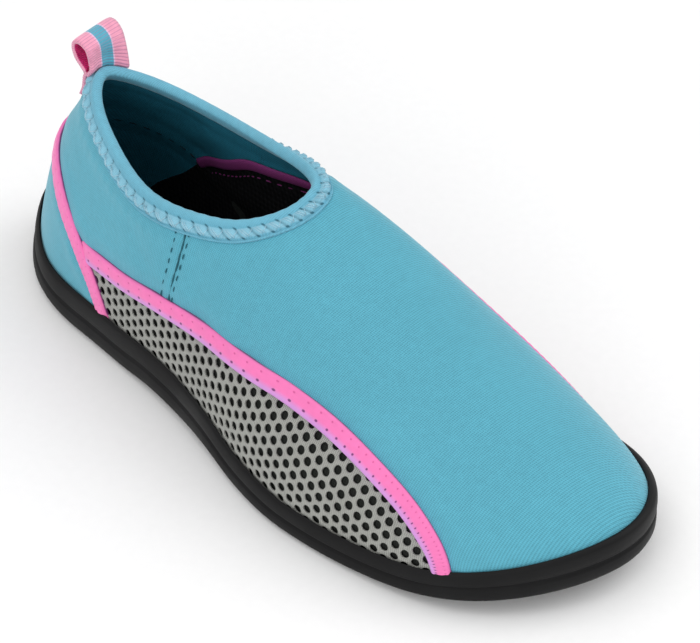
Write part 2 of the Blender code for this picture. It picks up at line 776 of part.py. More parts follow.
def main():
    """Build every piece and stand the shoe on its origin."""
    clear_scene()
    pieces = make_outsole()
    pieces.append(make_insole())
    pieces += make_upper()
    for side in ("lateral", "medial"):
        pieces.append(make_mesh_panel(side))
        pieces.append(make_side_tape(side))
    pieces.append(make_heel_tape())
    pieces.append(make_collar_binding())
    pieces.append(make_pull_loop())
    edge = outline(turns())
    middle = 0.5 * (edge.min(axis=0) + edge.max(axis=0))
    shoe = bpy.data.objects.new("water_shoe", None)
    bpy.context.collection.objects.link(shoe)
    shoe.location = (-middle[0], -middle[1], 0.0)
    for piece in pieces:
        piece.parent = shoe


main()
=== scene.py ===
"""Looks of a slip-on water shoe: neoprene upper, mesh sides, sewn tapes, webbing loop, rubber cup.

Every piece hangs on the same surface as the solids do. A turn value runs once round the shoe: 0 at
the back of the heel, then the lateral side, 0.5 at the toe tip, then the medial side and back to 1.
At each turn a rib climbs from the feather edge, climb 0, to the collar edge, climb 1.
"""

import math

import bmesh
import bpy
import numpy as np
from mathutils import Matrix, Vector


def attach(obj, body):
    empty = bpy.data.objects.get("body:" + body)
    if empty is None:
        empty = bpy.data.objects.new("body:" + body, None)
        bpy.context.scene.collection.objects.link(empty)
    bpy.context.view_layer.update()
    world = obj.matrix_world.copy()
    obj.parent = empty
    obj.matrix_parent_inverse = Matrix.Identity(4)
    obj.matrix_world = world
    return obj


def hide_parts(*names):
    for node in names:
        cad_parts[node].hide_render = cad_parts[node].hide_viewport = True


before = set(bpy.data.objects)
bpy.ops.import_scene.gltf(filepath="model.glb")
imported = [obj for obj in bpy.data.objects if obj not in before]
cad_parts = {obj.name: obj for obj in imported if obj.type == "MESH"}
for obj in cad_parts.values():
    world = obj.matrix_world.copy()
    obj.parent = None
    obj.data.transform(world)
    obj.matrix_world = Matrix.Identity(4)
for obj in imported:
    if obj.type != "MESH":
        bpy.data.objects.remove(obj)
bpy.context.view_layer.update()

# Sizes of the shoe, as the solids have them
LENGTH = 0.250
BALL_WIDTH = 0.096
HEEL_WIDTH = 0.062
INSTEP_HEIGHT = 0.0745
HEEL_HEIGHT = 0.0755
FLOOR_THICKNESS = 0.0055
SIDE_HEIGHT = 0.0180
FOOT_INSET = 0.0020
TOE_SPRING = 0.0090
HEEL_BEVEL = 0.0028
HEEL_LEAN = 0.0026
ARCH_RISE = 0.0014
EDGE_ROUND = 0.0026
SIDE_GROOVE = 0.0005
TREAD_DEPTH = 0.0016
TREAD_GROOVE_WIDTH = 0.0030
TREAD_PITCH = 0.0125
WALL = 0.0022
INSOLE_THICKNESS = 0.0032
BINDING_WIDTH = 0.0068
BINDING_THICKNESS = 0.0007
BINDING_FOLD = 0.0030
SIDE_TAPE_WIDTH = 0.0066
HEEL_TAPE_WIDTH = 0.0058
TAPE_THICKNESS = 0.0008
WEBBING_WIDTH = 0.0150
WEBBING_THICKNESS = 0.0012
LOOP_RISE = 0.0097
LOOP_LEAN = 0.0094
LOOP_SIDESTEP = 0.0040
SEAT_GAP = 0.0003
SEWN_GAP = 0.0004
RIB_COUNT = 64
# Shares of the length between which the heel width grows into the ball width
WIDEN_FROM_SHARE = 0.20
WIDEN_TO_SHARE = 0.65
# Where the sole's side leans in: behind this share of the length, above this share of its height
LEAN_TO_SHARE = 0.16
LEAN_FROM_SHARE = 0.18
# Where the underside lifts: toe and back, and where the arch starts and ends, with its soft ends
TOE_FROM_SHARE = 0.68
BACK_TO_SHARE = 0.10
ARCH_SHARES = (0.28, 0.55)
ARCH_SOFTNESS = 0.08
# Cross grooves of the tread: shares of the length between which each group runs
TREAD_GROUPS = ((0.13, 0.25), (0.57, 0.86))

# Outline of the sole: turn, share of the length, share of the local width
OUTLINE = (
    (0.000, 0.00, 0.000),
    (0.050, 0.03, -0.262),
    (0.110, 0.12, -0.496),
    (0.190, 0.29, -0.545),
    (0.260, 0.44, -0.502),
    (0.330, 0.61, -0.518),
    (0.395, 0.77, -0.481),
    (0.450, 0.92, -0.315),
    (0.500, 1.00, 0.085),
    (0.550, 0.92, 0.388),
    (0.605, 0.77, 0.458),
    (0.670, 0.61, 0.424),
    (0.740, 0.44, 0.362),
    (0.810, 0.29, 0.415),
    (0.890, 0.12, 0.476),
    (0.950, 0.03, 0.298),
)

# Ribs of the last: turn; collar edge as shares of the length, heel width and local height; rise of
# the side wall, its flare, the reach below the collar, and the slope at the collar in degrees
RIBS = (
    (0.000, 0.104, 0.032, 0.964, 0.450, -0.058, 0.108, 59),
    (0.050, 0.134, -0.121, 0.938, 0.437, -0.060, 0.104, 54),
    (0.110, 0.204, -0.262, 0.890, 0.386, -0.004, 0.068, 64),
    (0.190, 0.308, -0.372, 0.868, 0.344, 0.023, 0.052, 62),
    (0.260, 0.390, -0.330, 0.893, 0.338, 0.038, 0.068, 54),
    (0.330, 0.437, -0.250, 0.922, 0.337, 0.063, 0.108, 42),
    (0.395, 0.464, -0.140, 0.955, 0.323, 0.067, 0.176, 29),
    (0.450, 0.475, -0.035, 0.976, 0.296, 0.090, 0.224, 26),
    (0.500, 0.478, 0.056, 1.000, 0.300, 0.090, 0.236, 23),
    (0.550, 0.471, 0.134, 1.018, 0.190, 0.042, 0.234, 20),
    (0.605, 0.445, 0.196, 1.010, 0.135, -0.030, 0.188, 14),
    (0.670, 0.396, 0.260, 0.965, 0.335, 0.028, 0.146, 21),
    (0.740, 0.316, 0.320, 0.901, 0.390, 0.044, 0.080, 46),
    (0.810, 0.228, 0.334, 0.868, 0.386, 0.046, 0.056, 62),
    (0.890, 0.154, 0.260, 0.894, 0.425, 0.010, 0.068, 70),
    (0.950, 0.118, 0.161, 0.932, 0.450, -0.052, 0.096, 60),
)

# Height of the sole's side: share of the length, share of SIDE_HEIGHT
SIDE_HEIGHTS = (
    (0.00, 1.00),
    (0.12, 0.88),
    (0.40, 0.88),
    (0.65, 0.62),
    (0.85, 0.59),
    (1.00, 0.76),
)

# Side of the sole from the bottom edge up: share of the side's height, share of SIDE_GROOVE that
# the surface lies inside the outline, share of EDGE_ROUND that it lies inside it
SIDE_PROFILE = (
    (0.00, 0.0, 1.00),
    (0.03, 0.0, 0.55),
    (0.09, 0.0, 0.20),
    (0.18, 0.0, 0.00),
    (0.30, -0.15, 0.0),
    (0.42, 0.0, 0.00),
    (0.455, 0.3, 0.00),
    (0.48, 1.1, 0.00),
    (0.52, 1.3, 0.00),
    (0.56, 1.1, 0.00),
    (0.585, 0.3, 0.00),
    (0.62, 0.0, 0.00),
    (0.74, -0.1, 0.0),
    (0.86, 0.1, 0.00),
    (0.94, 0.5, 0.00),
    (0.98, 1.0, 0.00),
    (1.00, 1.6, 0.00),
)

# Seams on the last: turn and climb
LATERAL_TAPE = (
    (0.144, 0.358), (0.172, 0.382), (0.205, 0.412), (0.243, 0.448), (0.290, 0.490),
    (0.330, 0.511), (0.364, 0.508), (0.396, 0.458), (0.419, 0.348), (0.429, 0.200),
    (0.432, 0.000),
)
MEDIAL_TAPE = (
    (0.856, 0.352), (0.828, 0.370), (0.795, 0.398), (0.757, 0.443), (0.715, 0.490),
    (0.675, 0.520), (0.642, 0.530), (0.612, 0.500), (0.592, 0.410), (0.583, 0.260),
    (0.582, 0.000),
)
HEEL_TAPE = (
    (0.000, 0.560), (0.040, 0.532), (0.087, 0.478), (0.128, 0.400), (0.154, 0.290),
    (0.169, 0.170), (0.182, 0.000),
)
# The heel tape's whole line, from its medial end round the back to its lateral end
HEEL_ROUND = tuple((-turn, climb) for turn, climb in HEEL_TAPE[:0:-1]) + HEEL_TAPE
# Where the two halves of the collar are joined on each side: turn and climb
LATERAL_SEAM = ((0.2430, 0.900), (0.2430, 0.835), (0.2410, 0.753), (0.2390, 0.662), (0.2370, 0.580),
                (0.2350, 0.460))
MEDIAL_SEAM = ((0.757, 0.900), (0.757, 0.835), (0.759, 0.753), (0.761, 0.662), (0.763, 0.580),
               (0.765, 0.450))
# Each of these seams, with the sign that makes a step beside it run towards the heel
COLLAR_SEAMS = ((LATERAL_SEAM, -1.0), (MEDIAL_SEAM, 1.0))

# Upper edge of the black mesh that lines the medial side, as turn and climb; the lateral side
# mirrors it. A tape covers it from its fourth point on.
LINING_EDGE = (
    (0.925, 0.020), (0.906, 0.105), (0.879, 0.227), (0.860, 0.370), (0.841, 0.480),
    (0.790, 0.673), (0.749, 0.753), (0.709, 0.807), (0.668, 0.800), (0.630, 0.700),
    (0.604, 0.450), (0.594, 0.050),
)

# Pull of the sewn tapes on the neoprene: seam, height and width of the trough along it, and height,
# distance and width of the swell beside it
SEAM_PULLS = (
    (LATERAL_TAPE, -0.00035, 0.0040, 0.00030, 0.0075, 0.0030),
    (MEDIAL_TAPE, -0.00035, 0.0040, 0.00030, 0.0075, 0.0030),
    (HEEL_ROUND, -0.00025, 0.0034, 0.00022, 0.0060, 0.0024),
)
# Swell of the neoprene below the collar band: height, distance from the band and width
COLLAR_SWELL = (0.00035, 0.0032, 0.0022)
# Swell between the joined edges of the collar and the row of stitches behind them: height, distance
# from the seam towards the heel, and width
SEAM_SWELL = (0.00020, 0.0018, 0.0016)
# Grooves at the joined edges and at the two rows of stitches beside them, in the same columns
SEAM_GROOVES = (
    (-0.00055, 0.0, 0.00045),
    (-0.00025, 0.0034, 0.00045),
    (-0.00022, -0.0015, 0.00040),
)

# Soft troughs and ridges of the neoprene: turn and climb of the middle, direction
# in degrees from the line round the shoe, half length, half width and height in millimetres
CREASES = (
    (0.120, 0.66, 24, 15, 3.6, -0.42),
    (0.150, 0.60, 30, 18, 4.2, 0.38),
    (0.090, 0.74, 12, 12, 3.0, -0.30),
    (0.060, 0.62, 8, 16, 4.0, -0.34),
    (0.030, 0.70, 0, 12, 3.4, 0.26),
    (0.205, 0.60, -38, 13, 4.0, -0.36),
    (0.262, 0.66, -64, 14, 4.5, -0.40),
    (0.300, 0.62, -58, 20, 6.0, 0.42),
    (0.325, 0.60, -40, 16, 4.5, -0.40),
    (0.372, 0.62, -30, 26, 7.0, 0.40),
    (0.390, 0.50, -24, 22, 6.0, -0.36),
    (0.430, 0.66, 10, 24, 7.5, -0.34),
    (0.470, 0.52, 20, 26, 8.0, 0.30),
    (0.540, 0.60, 14, 24, 7.0, -0.30),
    (0.600, 0.66, 32, 20, 6.0, 0.36),
    (0.640, 0.64, 44, 16, 5.0, -0.36),
    (0.700, 0.66, 58, 15, 4.5, 0.36),
    (0.735, 0.62, 40, 12, 4.0, -0.34),
    (0.850, 0.62, -28, 17, 4.0, -0.40),
    (0.880, 0.68, -20, 14, 3.6, 0.34),
    (0.930, 0.60, -8, 16, 4.0, -0.34),
    (0.970, 0.72, 0, 12, 3.2, -0.24),
)

# Camera: where it stands and where it looks, found from the outlines in the picture
PICTURE_WIDTH = 700
FOCAL_PIXELS = 3251.0
CAMERA_AZIMUTH = 46.41
CAMERA_ELEVATION = 40.60
CAMERA_ROLL = -0.50
CAMERA_DISTANCE = 0.850
CAMERA_TARGET = (0.08825, -0.06609, 0.12582)
# Soft lights: name, place, what each faces, length of its side and power
LIGHTS = (
    ("softbox_back_right", (0.55, 0.75, 0.90), (0.0, 0.0, 0.03), 0.9, 4.4),
    ("softbox_top", (-0.10, -0.25, 1.30), (0.0, 0.0, 0.0), 1.1, 3.8),
    ("softbox_front", (0.45, -1.05, 0.55), (0.0, 0.0, 0.04), 0.7, 3.4),
)
SURROUND_STRENGTH = 0.75
FLOOR_REACH = 4.0

# Finishes
AQUA = (0.100, 0.405, 0.525)
BINDING_BLUE = (0.150, 0.440, 0.580)
THREAD_PALE = (0.380, 0.640, 0.760)
THREAD_TEAL = (0.010, 0.120, 0.160)
TEAL_LINING = (0.015, 0.165, 0.245)
PINK = (0.850, 0.175, 0.450)
LILAC = (0.600, 0.270, 0.640)
# Plum of the side tape's upper rim, also used as painted shade in the lower row of its needle holes
DEEP_PLUM = (0.140, 0.020, 0.130)
LINING_PLUM = (0.210, 0.020, 0.150)
MAGENTA = (0.780, 0.040, 0.250)
WEBBING_PINK = (0.830, 0.330, 0.470)
WEBBING_BLUE = (0.080, 0.370, 0.500)
MESH_GREY = (0.380, 0.385, 0.355)
DARK_CLOTH = (0.024, 0.027, 0.024)
RUBBER_BLACK = (0.0035, 0.0035, 0.0038)
RUBBER_DUST = (0.011, 0.010, 0.010)
THREAD_DARK = (0.004, 0.020, 0.028)
BLACK_CLOTH = (0.006, 0.006, 0.007)
BLACK_FOOTBED = (0.005, 0.005, 0.006)
# Painted shade in the collar band's needle holes
HOLE_SHADE_TEAL = (0.010, 0.090, 0.130)
# Painted shade in the tapes' needle holes
TAPE_HOLE_SHADE = (0.550, 0.030, 0.200)
WEBBING_PALE = (0.720, 0.600, 0.800)
# Painted shade in the furrows between the webbing's ribs
WEBBING_SHADE = (0.280, 0.100, 0.240)
PAPER = (0.900, 0.900, 0.900)
PAPER_PALE = (0.930, 0.930, 0.930)
# Needle holes of the tapes, in millimetres: pitch, and the rows' distances from the lower edge
SIDE_STITCH_PITCH = 3.5
SIDE_STITCH_ROWS = (2.1, 4.9)
HEEL_STITCH_PITCH = 3.3
HEEL_STITCH_ROWS = (1.5, 4.3)
# Needle holes of the collar's braid on the band's map, in millimetres: their step, their rows, and
# the slant and shift that bring them between the slanting lobes
HOLE_STEP = 5.0
HOLE_ROWS = (2.6, 6.0)
HOLE_SLANT = 0.809
HOLE_SHIFT = 3.478
# Pitch of the ribs across the webbing
RIB_PITCH = 0.00095


# The surface of the last


def closed_spline(rows):
    """Smooth closed curve through rows of (turn, value, ...), as a function of the turn."""
    table = np.array(rows, float)
    knots = table[:, 0]
    values = table[:, 1:]
    count = len(knots)
    steps = np.diff(np.append(knots, knots[0] + 1.0))
    matrix = np.zeros((count, count))
    target = np.zeros_like(values)
    for i in range(count):
        before = steps[i - 1]
        after = steps[i]
        following = (i + 1) % count
        matrix[i, i - 1] += before
        matrix[i, i] += 2.0 * (before + after)
        matrix[i, following] += after
        target[i] = 6.0 * ((values[following] - values[i]) / after
                           - (values[i] - values[i - 1]) / before)
    bends = np.linalg.solve(matrix, target)

    def curve(turn):
        turn = np.mod(np.asarray(turn, float) - knots[0], 1.0) + knots[0]
        k = np.clip(np.searchsorted(knots, turn, side="right") - 1, 0, count - 1)
        n = (k + 1) % count
        step = steps[k][..., None]
        left = (turn - knots[k])[..., None]
        right = step - left
        cubic = (bends[k] * right ** 3 + bends[n] * left ** 3) / (6.0 * step)
        line = ((values[k] / step - bends[k] * step / 6.0) * right
                + (values[n] / step - bends[n] * step / 6.0) * left)
        return cubic + line

    return curve


def unit(vectors):
    """Vectors brought to length 1."""
    return vectors / np.linalg.norm(vectors, axis=-1)[..., None]


def run_along(line):
    """How far along a line of points each of them lies."""
    return np.concatenate([[0.0], np.cumsum(np.linalg.norm(np.diff(line, axis=0), axis=1))])


def rows_at(table, spots, marks=None):
    """Rows of a table at fractional row numbers, or at places between the rows' own marks."""
    marks = np.arange(len(table)) if marks is None else marks
    return np.column_stack([np.interp(spots, marks, column) for column in table.T])


def open_curve(rows, count):
    """Count points evenly along a smooth curve through given points."""
    points = np.array(rows, float)
    padded = np.vstack([2 * points[0] - points[1], points, 2 * points[-1] - points[-2]])
    fine = []
    for i in range(len(points) - 1):
        a, b, c, d = padded[i:i + 4]
        for s in np.linspace(0.0, 1.0, 12, endpoint=False):
            fine.append(0.5 * (2 * b + (c - a) * s + (2 * a - 5 * b + 4 * c - d) * s ** 2
                               + (3 * b - a - 3 * c + d) * s ** 3))
    fine = np.array([*fine, points[-1]])
    reach = run_along(fine)
    return rows_at(fine, np.linspace(0.0, reach[-1], count), reach)


def ease(share):
    """Smooth step from 0 to 1."""
    share = np.clip(share, 0.0, 1.0)
    return share * share * (3.0 - 2.0 * share)


def bell(distance, width):
    """1 at no distance, falling smoothly to nothing past the width."""
    return np.exp(-(distance / width) ** 2)


OUTLINE_CURVE = closed_spline(OUTLINE)
RIB_CURVE = closed_spline(RIBS)


def side_lean(x, height_share):
    """How far the sole's side leans in at a share of its height; it only does so at the heel."""
    heel = 1.0 - ease(np.asarray(x, float) / (LEAN_TO_SHARE * LENGTH))
    return HEEL_LEAN * heel * max(0.0, (height_share - LEAN_FROM_SHARE) / (1.0 - LEAN_FROM_SHARE))


def outline(turn, outset=0.0):
    """Edge of the sole seen from above, moved outwards by outset."""

    def edge(at):
        shares = OUTLINE_CURVE(at)
        blend = ease((shares[..., 0] - WIDEN_FROM_SHARE) / (WIDEN_TO_SHARE - WIDEN_FROM_SHARE))
        width = HEEL_WIDTH + (BALL_WIDTH - HEEL_WIDTH) * blend
        return np.stack([shares[..., 0] * LENGTH, shares[..., 1] * width], axis=-1)

    turn = np.asarray(turn, float)
    nudge = 1e-4
    along = unit(edge(turn + nudge) - edge(turn - nudge))
    outwards = np.stack([along[..., 1], -along[..., 0]], axis=-1)
    return edge(turn) + outwards * np.asarray(outset, float)[..., None]


def ground_gap(x):
    """Height of the sole's underside: level under heel and ball, lifted at toe, arch and back."""
    share = np.asarray(x, float) / LENGTH
    toe = TOE_SPRING * np.clip((share - TOE_FROM_SHARE) / (1.0 - TOE_FROM_SHARE), 0.0, None) ** 2
    back = HEEL_BEVEL * np.clip(1.0 - share / BACK_TO_SHARE, 0.0, None) ** 2
    start, end = ARCH_SHARES
    arch = ARCH_RISE * ease((share - start) / ARCH_SOFTNESS) * ease((end - share) / ARCH_SOFTNESS)
    return toe + back + arch


def side_height(x):
    """Height of the sole's side wall at a place along the shoe."""
    table = np.array(SIDE_HEIGHTS)
    share = np.interp(np.asarray(x, float) / LENGTH, table[:, 0], table[:, 1])
    return share * SIDE_HEIGHT


def local_height(turn):
    """Heel height at the back, instep height in front."""
    blend = 0.5 - 0.5 * np.cos(2.0 * math.pi * np.asarray(turn, float))
    return HEEL_HEIGHT + (INSTEP_HEIGHT - HEEL_HEIGHT) * blend


def rib(turn, climb):
    """Point on the last: one cubic curve from the feather edge up and in to the collar."""
    turn, climb = np.broadcast_arrays(np.asarray(turn, float), np.asarray(climb, float))
    foot = outline(turn, -FOOT_INSET)
    base = ground_gap(foot[..., 0]) + FLOOR_THICKNESS + SEAT_GAP
    row = RIB_CURVE(turn)
    height = local_height(turn)
    collar = np.stack([row[..., 0] * LENGTH, row[..., 1] * HEEL_WIDTH], axis=-1)
    top = row[..., 2] * height
    rise = row[..., 3] * height
    flare = row[..., 4] * BALL_WIDTH
    reach = row[..., 5] * LENGTH
    slope = np.radians(row[..., 6])
    spread = np.linalg.norm(foot - collar, axis=-1)
    outwards = (foot - collar) / spread[..., None]
    weights = ((1 - climb) ** 3, 3 * climb * (1 - climb) ** 2, 3 * climb ** 2 * (1 - climb), climb ** 3)
    runs = (spread, spread + flare, reach * np.cos(slope), np.zeros_like(spread))
    lifts = (base, base + rise, top - reach * np.sin(slope), top)
    run = sum(w * r for w, r in zip(weights, runs))
    lift = sum(w * z for w, z in zip(weights, lifts))
    return np.concatenate([collar + outwards * run[..., None], lift[..., None]], axis=-1)


def tangents(turn, climb):
    """How the last moves with the turn and with the climb."""
    nudge = 1e-3
    turn = np.asarray(turn, float)
    climb = np.asarray(climb, float)
    round_shoe = (rib(turn + nudge, climb) - rib(turn - nudge, climb)) / (2 * nudge)
    up_rib = (rib(turn, climb + nudge) - rib(turn, climb - nudge)) / (2 * nudge)
    return round_shoe, up_rib


def skin(turn, climb, outset=0.0):
    """Point outside (or, with a negative outset, inside) the last."""
    return rib(turn, climb) + unit(np.cross(*tangents(turn, climb))) * np.asarray(outset, float)[..., None]


def on_last(line):
    """Points on the last of a line given as turn and climb."""
    return rib(line[:, 0], line[:, 1])


def climb_at(turn, height):
    """Share of the rib at which it passes a height above the ground."""
    turn = np.asarray(turn, float)
    low = np.zeros_like(turn)
    high = np.full_like(turn, 0.8)
    for _ in range(30):
        middle = 0.5 * (low + high)
        below = rib(turn, middle)[..., 2] < height
        low = np.where(below, middle, low)
        high = np.where(below, high, middle)
    return 0.5 * (low + high)


def lip_climb(turn, above=0.0):
    """Share of the rib at which it comes out of the sole's lip, or clears it by a height."""
    x = outline(turn)[..., 0]
    return climb_at(turn, ground_gap(x) + side_height(x) + above)


def climb_below_collar(turn, distance):
    """Share of the rib that lies a distance below the collar, measured along it, for each turn."""
    turn = np.atleast_1d(np.asarray(turn, float))
    climbs = np.linspace(0.35, 1.0, 90)
    runs = np.linalg.norm(np.diff(rib(turn[:, None], climbs[None, :]), axis=1), axis=-1)
    below = np.column_stack([np.zeros(len(turn)), np.cumsum(runs[:, ::-1], axis=1)])
    distance = np.broadcast_to(distance, turn.shape)
    return np.array([np.interp(d, row, climbs[::-1]) for d, row in zip(distance, below)])


def sideways_step(path):
    """Change of turn and climb for each metre to the left of a seam, seen from outside."""
    round_shoe, up_rib = tangents(path[:, 0], path[:, 1])
    step = np.gradient(path, axis=0)
    along = round_shoe * step[:, :1] + up_rib * step[:, 1:]
    left = unit(np.cross(np.cross(round_shoe, up_rib), along))
    steps = []
    for r, u, s in zip(round_shoe, up_rib, left):
        steps.append(np.linalg.lstsq(np.column_stack([r, u]), s, rcond=None)[0])
    return np.array(steps)


def beside(path, distance):
    """Points at a distance beside a seam, on the last. Plus is to the left, seen from outside."""
    return path + sideways_step(path) * distance


def strip_places(path, width):
    """Turn and climb of places on a strip along a seam, from their shares along and across it."""
    step = sideways_step(path)

    def places(x, y):
        spots = x * (len(path) - 1)
        return rows_at(path, spots) + rows_at(step, spots) * ((y - 0.5) * width)[:, None]

    return places


EDGE_POINTS = outline(np.arange(RIB_COUNT) / RIB_COUNT)
MIDDLE = np.append(0.5 * (EDGE_POINTS.min(axis=0) + EDGE_POINTS.max(axis=0)), 0.0)


# Making of meshes


def flat_sheet(columns, rows):
    """Flat sheet of quads, from 0 to 1 both ways."""
    sheet = bmesh.new()
    bmesh.ops.create_grid(sheet, x_segments=columns, y_segments=rows, size=0.5)
    bmesh.ops.translate(sheet, verts=sheet.verts, vec=(0.5, 0.5, 0.0))
    return sheet


def delete_faces(sheet, gone):
    """Delete the faces of a sheet that a row of yes and no values points out."""
    bmesh.ops.delete(sheet, geom=[face for face, cut in zip(sheet.faces, gone) if cut], context="FACES")


def lay_map(sheet, width, height):
    """Give a flat sheet a map in millimetres, before it is shaped."""
    layer = sheet.loops.layers.uv.new("cloth")
    for face in sheet.faces:
        for loop in face.loops:
            place = loop.vert.co
            loop[layer].uv = (place.x * width, place.y * height)


def shape(sheet, place, verts=None):
    """Move the points of a sheet to where place puts them on the shoe."""
    verts = list(sheet.verts) if verts is None else verts
    flat = np.array([v.co for v in verts])
    for v, point in zip(verts, place(flat[:, 0], flat[:, 1]) - MIDDLE):
        v.co = point


def on_grid(points):
    """Where a sheet's points go when a table holds them by column and row."""

    def place(x, y):
        columns, rows = (count - 1 for count in points.shape[:2])
        return points[np.rint(x * columns).astype(int), np.rint(y * rows).astype(int)]

    return place


def close_seams(sheet, distance=1e-5):
    """Merge the edges of a sheet that meet."""
    bmesh.ops.remove_doubles(sheet, verts=sheet.verts, dist=distance)


def added(name, data):
    """New object in the scene."""
    made = bpy.data.objects.new(name, data)
    bpy.context.collection.objects.link(made)
    return made


def meshed(sheet, name, materials):
    """Turn a bmesh into an object with its materials."""
    mesh = bpy.data.meshes.new(name)
    sheet.to_mesh(mesh)
    sheet.free()
    mesh.shade_smooth()
    for finish in materials:
        mesh.materials.append(finish)
    return added(name, mesh)


def piece(sheet, name, materials, node, flip=False):
    """Turn a bmesh into a piece that rides on the shoe and stands for a node."""
    if flip:
        bmesh.ops.reverse_faces(sheet, faces=sheet.faces)
    made = meshed(sheet, name, materials)
    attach(made, "root")
    if node:
        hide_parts(node)
    return made


def wall(made, thickness, inner_material=0):
    """Give a sheet its thickness, inwards."""
    solid = made.modifiers.new("wall", "SOLIDIFY")
    solid.thickness = thickness
    solid.offset = -1.0
    solid.material_offset = inner_material


def thread(sheet, points, radius):
    """One closed length of sewing thread along a few points of the shoe."""
    points = points - MIDDLE
    made = bmesh.ops.create_grid(sheet, x_segments=6, y_segments=5, size=0.5)["verts"]
    along = np.gradient(points, axis=0)
    for v in made:
        share = v.co.x + 0.5
        angle = (v.co.y + 0.5) * 2.0 * math.pi
        spot = share * (len(points) - 1)
        middle = Vector(rows_at(points, spot)[0])
        ahead = Vector(rows_at(along, spot)[0]).normalized()
        first = ahead.orthogonal().normalized()
        second = ahead.cross(first)
        fat = radius * math.sqrt(max(0.0, 1.0 - (2.0 * share - 1.0) ** 4))
        v.co = middle + (first * math.cos(angle) - second * math.sin(angle)) * fat


# Materials


def node(tree, kind, inputs=None, **settings):
    """Add a shader node. An input is a plain value, or the output that feeds it."""
    made = tree.nodes.new("ShaderNode" + kind)
    for name, value in settings.items():
        setattr(made, name, value)
    for name, value in (inputs or {}).items():
        if isinstance(value, bpy.types.NodeSocket):
            tree.links.new(value, made.inputs[name])
        else:
            made.inputs[name].default_value = value
    return made


def maths(tree, operation, first, second=0.0, third=0.0):
    """Output of one Math node."""
    return node(tree, "Math", {0: first, 1: second, 2: third}, operation=operation).outputs[0]


def mixed(tree, share, first, second, blend="MIX"):
    """Output of one colour Mix node."""
    first, second = ((*value, 1.0) if isinstance(value, tuple) else value for value in (first, second))
    return node(tree, "Mix", {0: share, 6: first, 7: second}, data_type="RGBA", blend_type=blend).outputs[2]


def graded(tree, value, low, high, to_low=0.0, to_high=1.0):
    """A value brought from one range to another, with soft ends."""
    return node(tree, "MapRange", {0: value, 1: low, 2: high, 3: to_low, 4: to_high},
                interpolation_type="SMOOTHSTEP").outputs[0]


def new_group(name, inputs, outputs):
    """Empty shader group with named sockets; returns it with its two end nodes."""
    group = bpy.data.node_groups.new(name, "ShaderNodeTree")
    for socket, kind in inputs:
        group.interface.new_socket(socket, in_out="INPUT", socket_type="NodeSocket" + kind)
    for socket, kind in outputs:
        group.interface.new_socket(socket, in_out="OUTPUT", socket_type="NodeSocket" + kind)
    entry = group.nodes.new("NodeGroupInput")
    leave = group.nodes.new("NodeGroupOutput")
    return group, entry.outputs, leave.inputs


def make_knit_group():
    """Fine slanted knit of the cloth faces, with fuzz on it."""
    group, given, wanted = new_group(
        "knit", (("Vector", "Vector"), ("Pitch", "Float"), ("Fuzz", "Float")),
        (("Height", "Float"),))
    waves = []
    for direction in ((0.62, 0.50, 0.60), (-0.60, 0.62, 0.50)):
        along = node(group, "VectorMath", {0: given["Vector"], 1: direction}, operation="DOT_PRODUCT")
        turned = maths(group, "DIVIDE", maths(group, "MULTIPLY", along.outputs["Value"], 2 * math.pi),
                       given["Pitch"])
        waves.append(maths(group, "SINE", turned))
    yarn = maths(group, "MULTIPLY_ADD", maths(group, "MULTIPLY", waves[0], waves[1]), 0.5, 0.5)
    fuzz = node(group, "TexNoise", {"Vector": given["Vector"], "Scale": 2600.0, "Detail": 2.0})
    rough = maths(group, "MULTIPLY", maths(group, "SUBTRACT", fuzz.outputs["Fac"], 0.5), given["Fuzz"])
    group.links.new(maths(group, "ADD", yarn, rough), wanted["Height"])
    return group


def make_mottle_group():
    """Slow and fine change of shade over a surface, around 1."""
    group, given, wanted = new_group(
        "mottle", (("Vector", "Vector"), ("Strength", "Float")), (("Shade", "Float"),))
    slow = node(group, "TexNoise", {"Vector": given["Vector"], "Scale": 28.0, "Detail": 3.0})
    fine = node(group, "TexNoise", {"Vector": given["Vector"], "Scale": 420.0, "Detail": 2.0})
    both = maths(group, "ADD", slow.outputs["Fac"], fine.outputs["Fac"])
    centred = maths(group, "MULTIPLY", maths(group, "SUBTRACT", both, 1.0), given["Strength"])
    group.links.new(maths(group, "ADD", centred, 1.0), wanted["Shade"])
    return group


def make_stitch_group():
    """Row of needle holes along a map in millimetres, and the thread between them."""
    group, given, wanted = new_group(
        "stitch_row",
        (("Vector", "Vector"), ("Pitch", "Float"), ("Row", "Float"), ("Radius", "Float")),
        (("Hole", "Float"), ("Thread", "Float")))
    parts = node(group, "SeparateXYZ", {0: given["Vector"]})
    from_hole = maths(group, "PINGPONG", parts.outputs[0], maths(group, "MULTIPLY", given["Pitch"], 0.5))
    off_row = maths(group, "SUBTRACT", parts.outputs[1], given["Row"])
    away = maths(group, "SQRT", maths(group, "ADD", maths(group, "POWER", from_hole, 2.0),
                                      maths(group, "MULTIPLY", off_row, off_row)))
    inside = maths(group, "DIVIDE", away, given["Radius"])
    hole = graded(group, inside, 0.55, 1.1, 1.0, 0.0)
    lane = graded(group, maths(group, "DIVIDE", maths(group, "ABSOLUTE", off_row), given["Radius"]),
                  0.3, 0.9, 1.0, 0.0)
    between = graded(group, inside, 1.2, 1.8)
    group.links.new(hole, wanted["Hole"])
    group.links.new(maths(group, "MULTIPLY", lane, between), wanted["Thread"])
    return group


KNIT = make_knit_group()
MOTTLE = make_mottle_group()
STITCH = make_stitch_group()


def placed(tree, group, inputs):
    """Outputs of a shader group placed in a material."""
    return node(tree, "Group", inputs, node_tree=group).outputs


def new_material(name, roughness, specular, **own):
    """Material with its shader, and the values that are even all over set on the shader."""
    made = bpy.data.materials.new(name)
    made.use_nodes = True
    tree = made.node_tree
    shader = tree.nodes["Principled BSDF"]
    for socket, value in {"Roughness": roughness, "Specular_IOR_Level": specular, **own}.items():
        shader.inputs[socket.replace("_", " ")].default_value = value
    return made, tree, shader


def object_place(tree):
    """Place on the object, in metres."""
    return node(tree, "TexCoord").outputs["Object"]


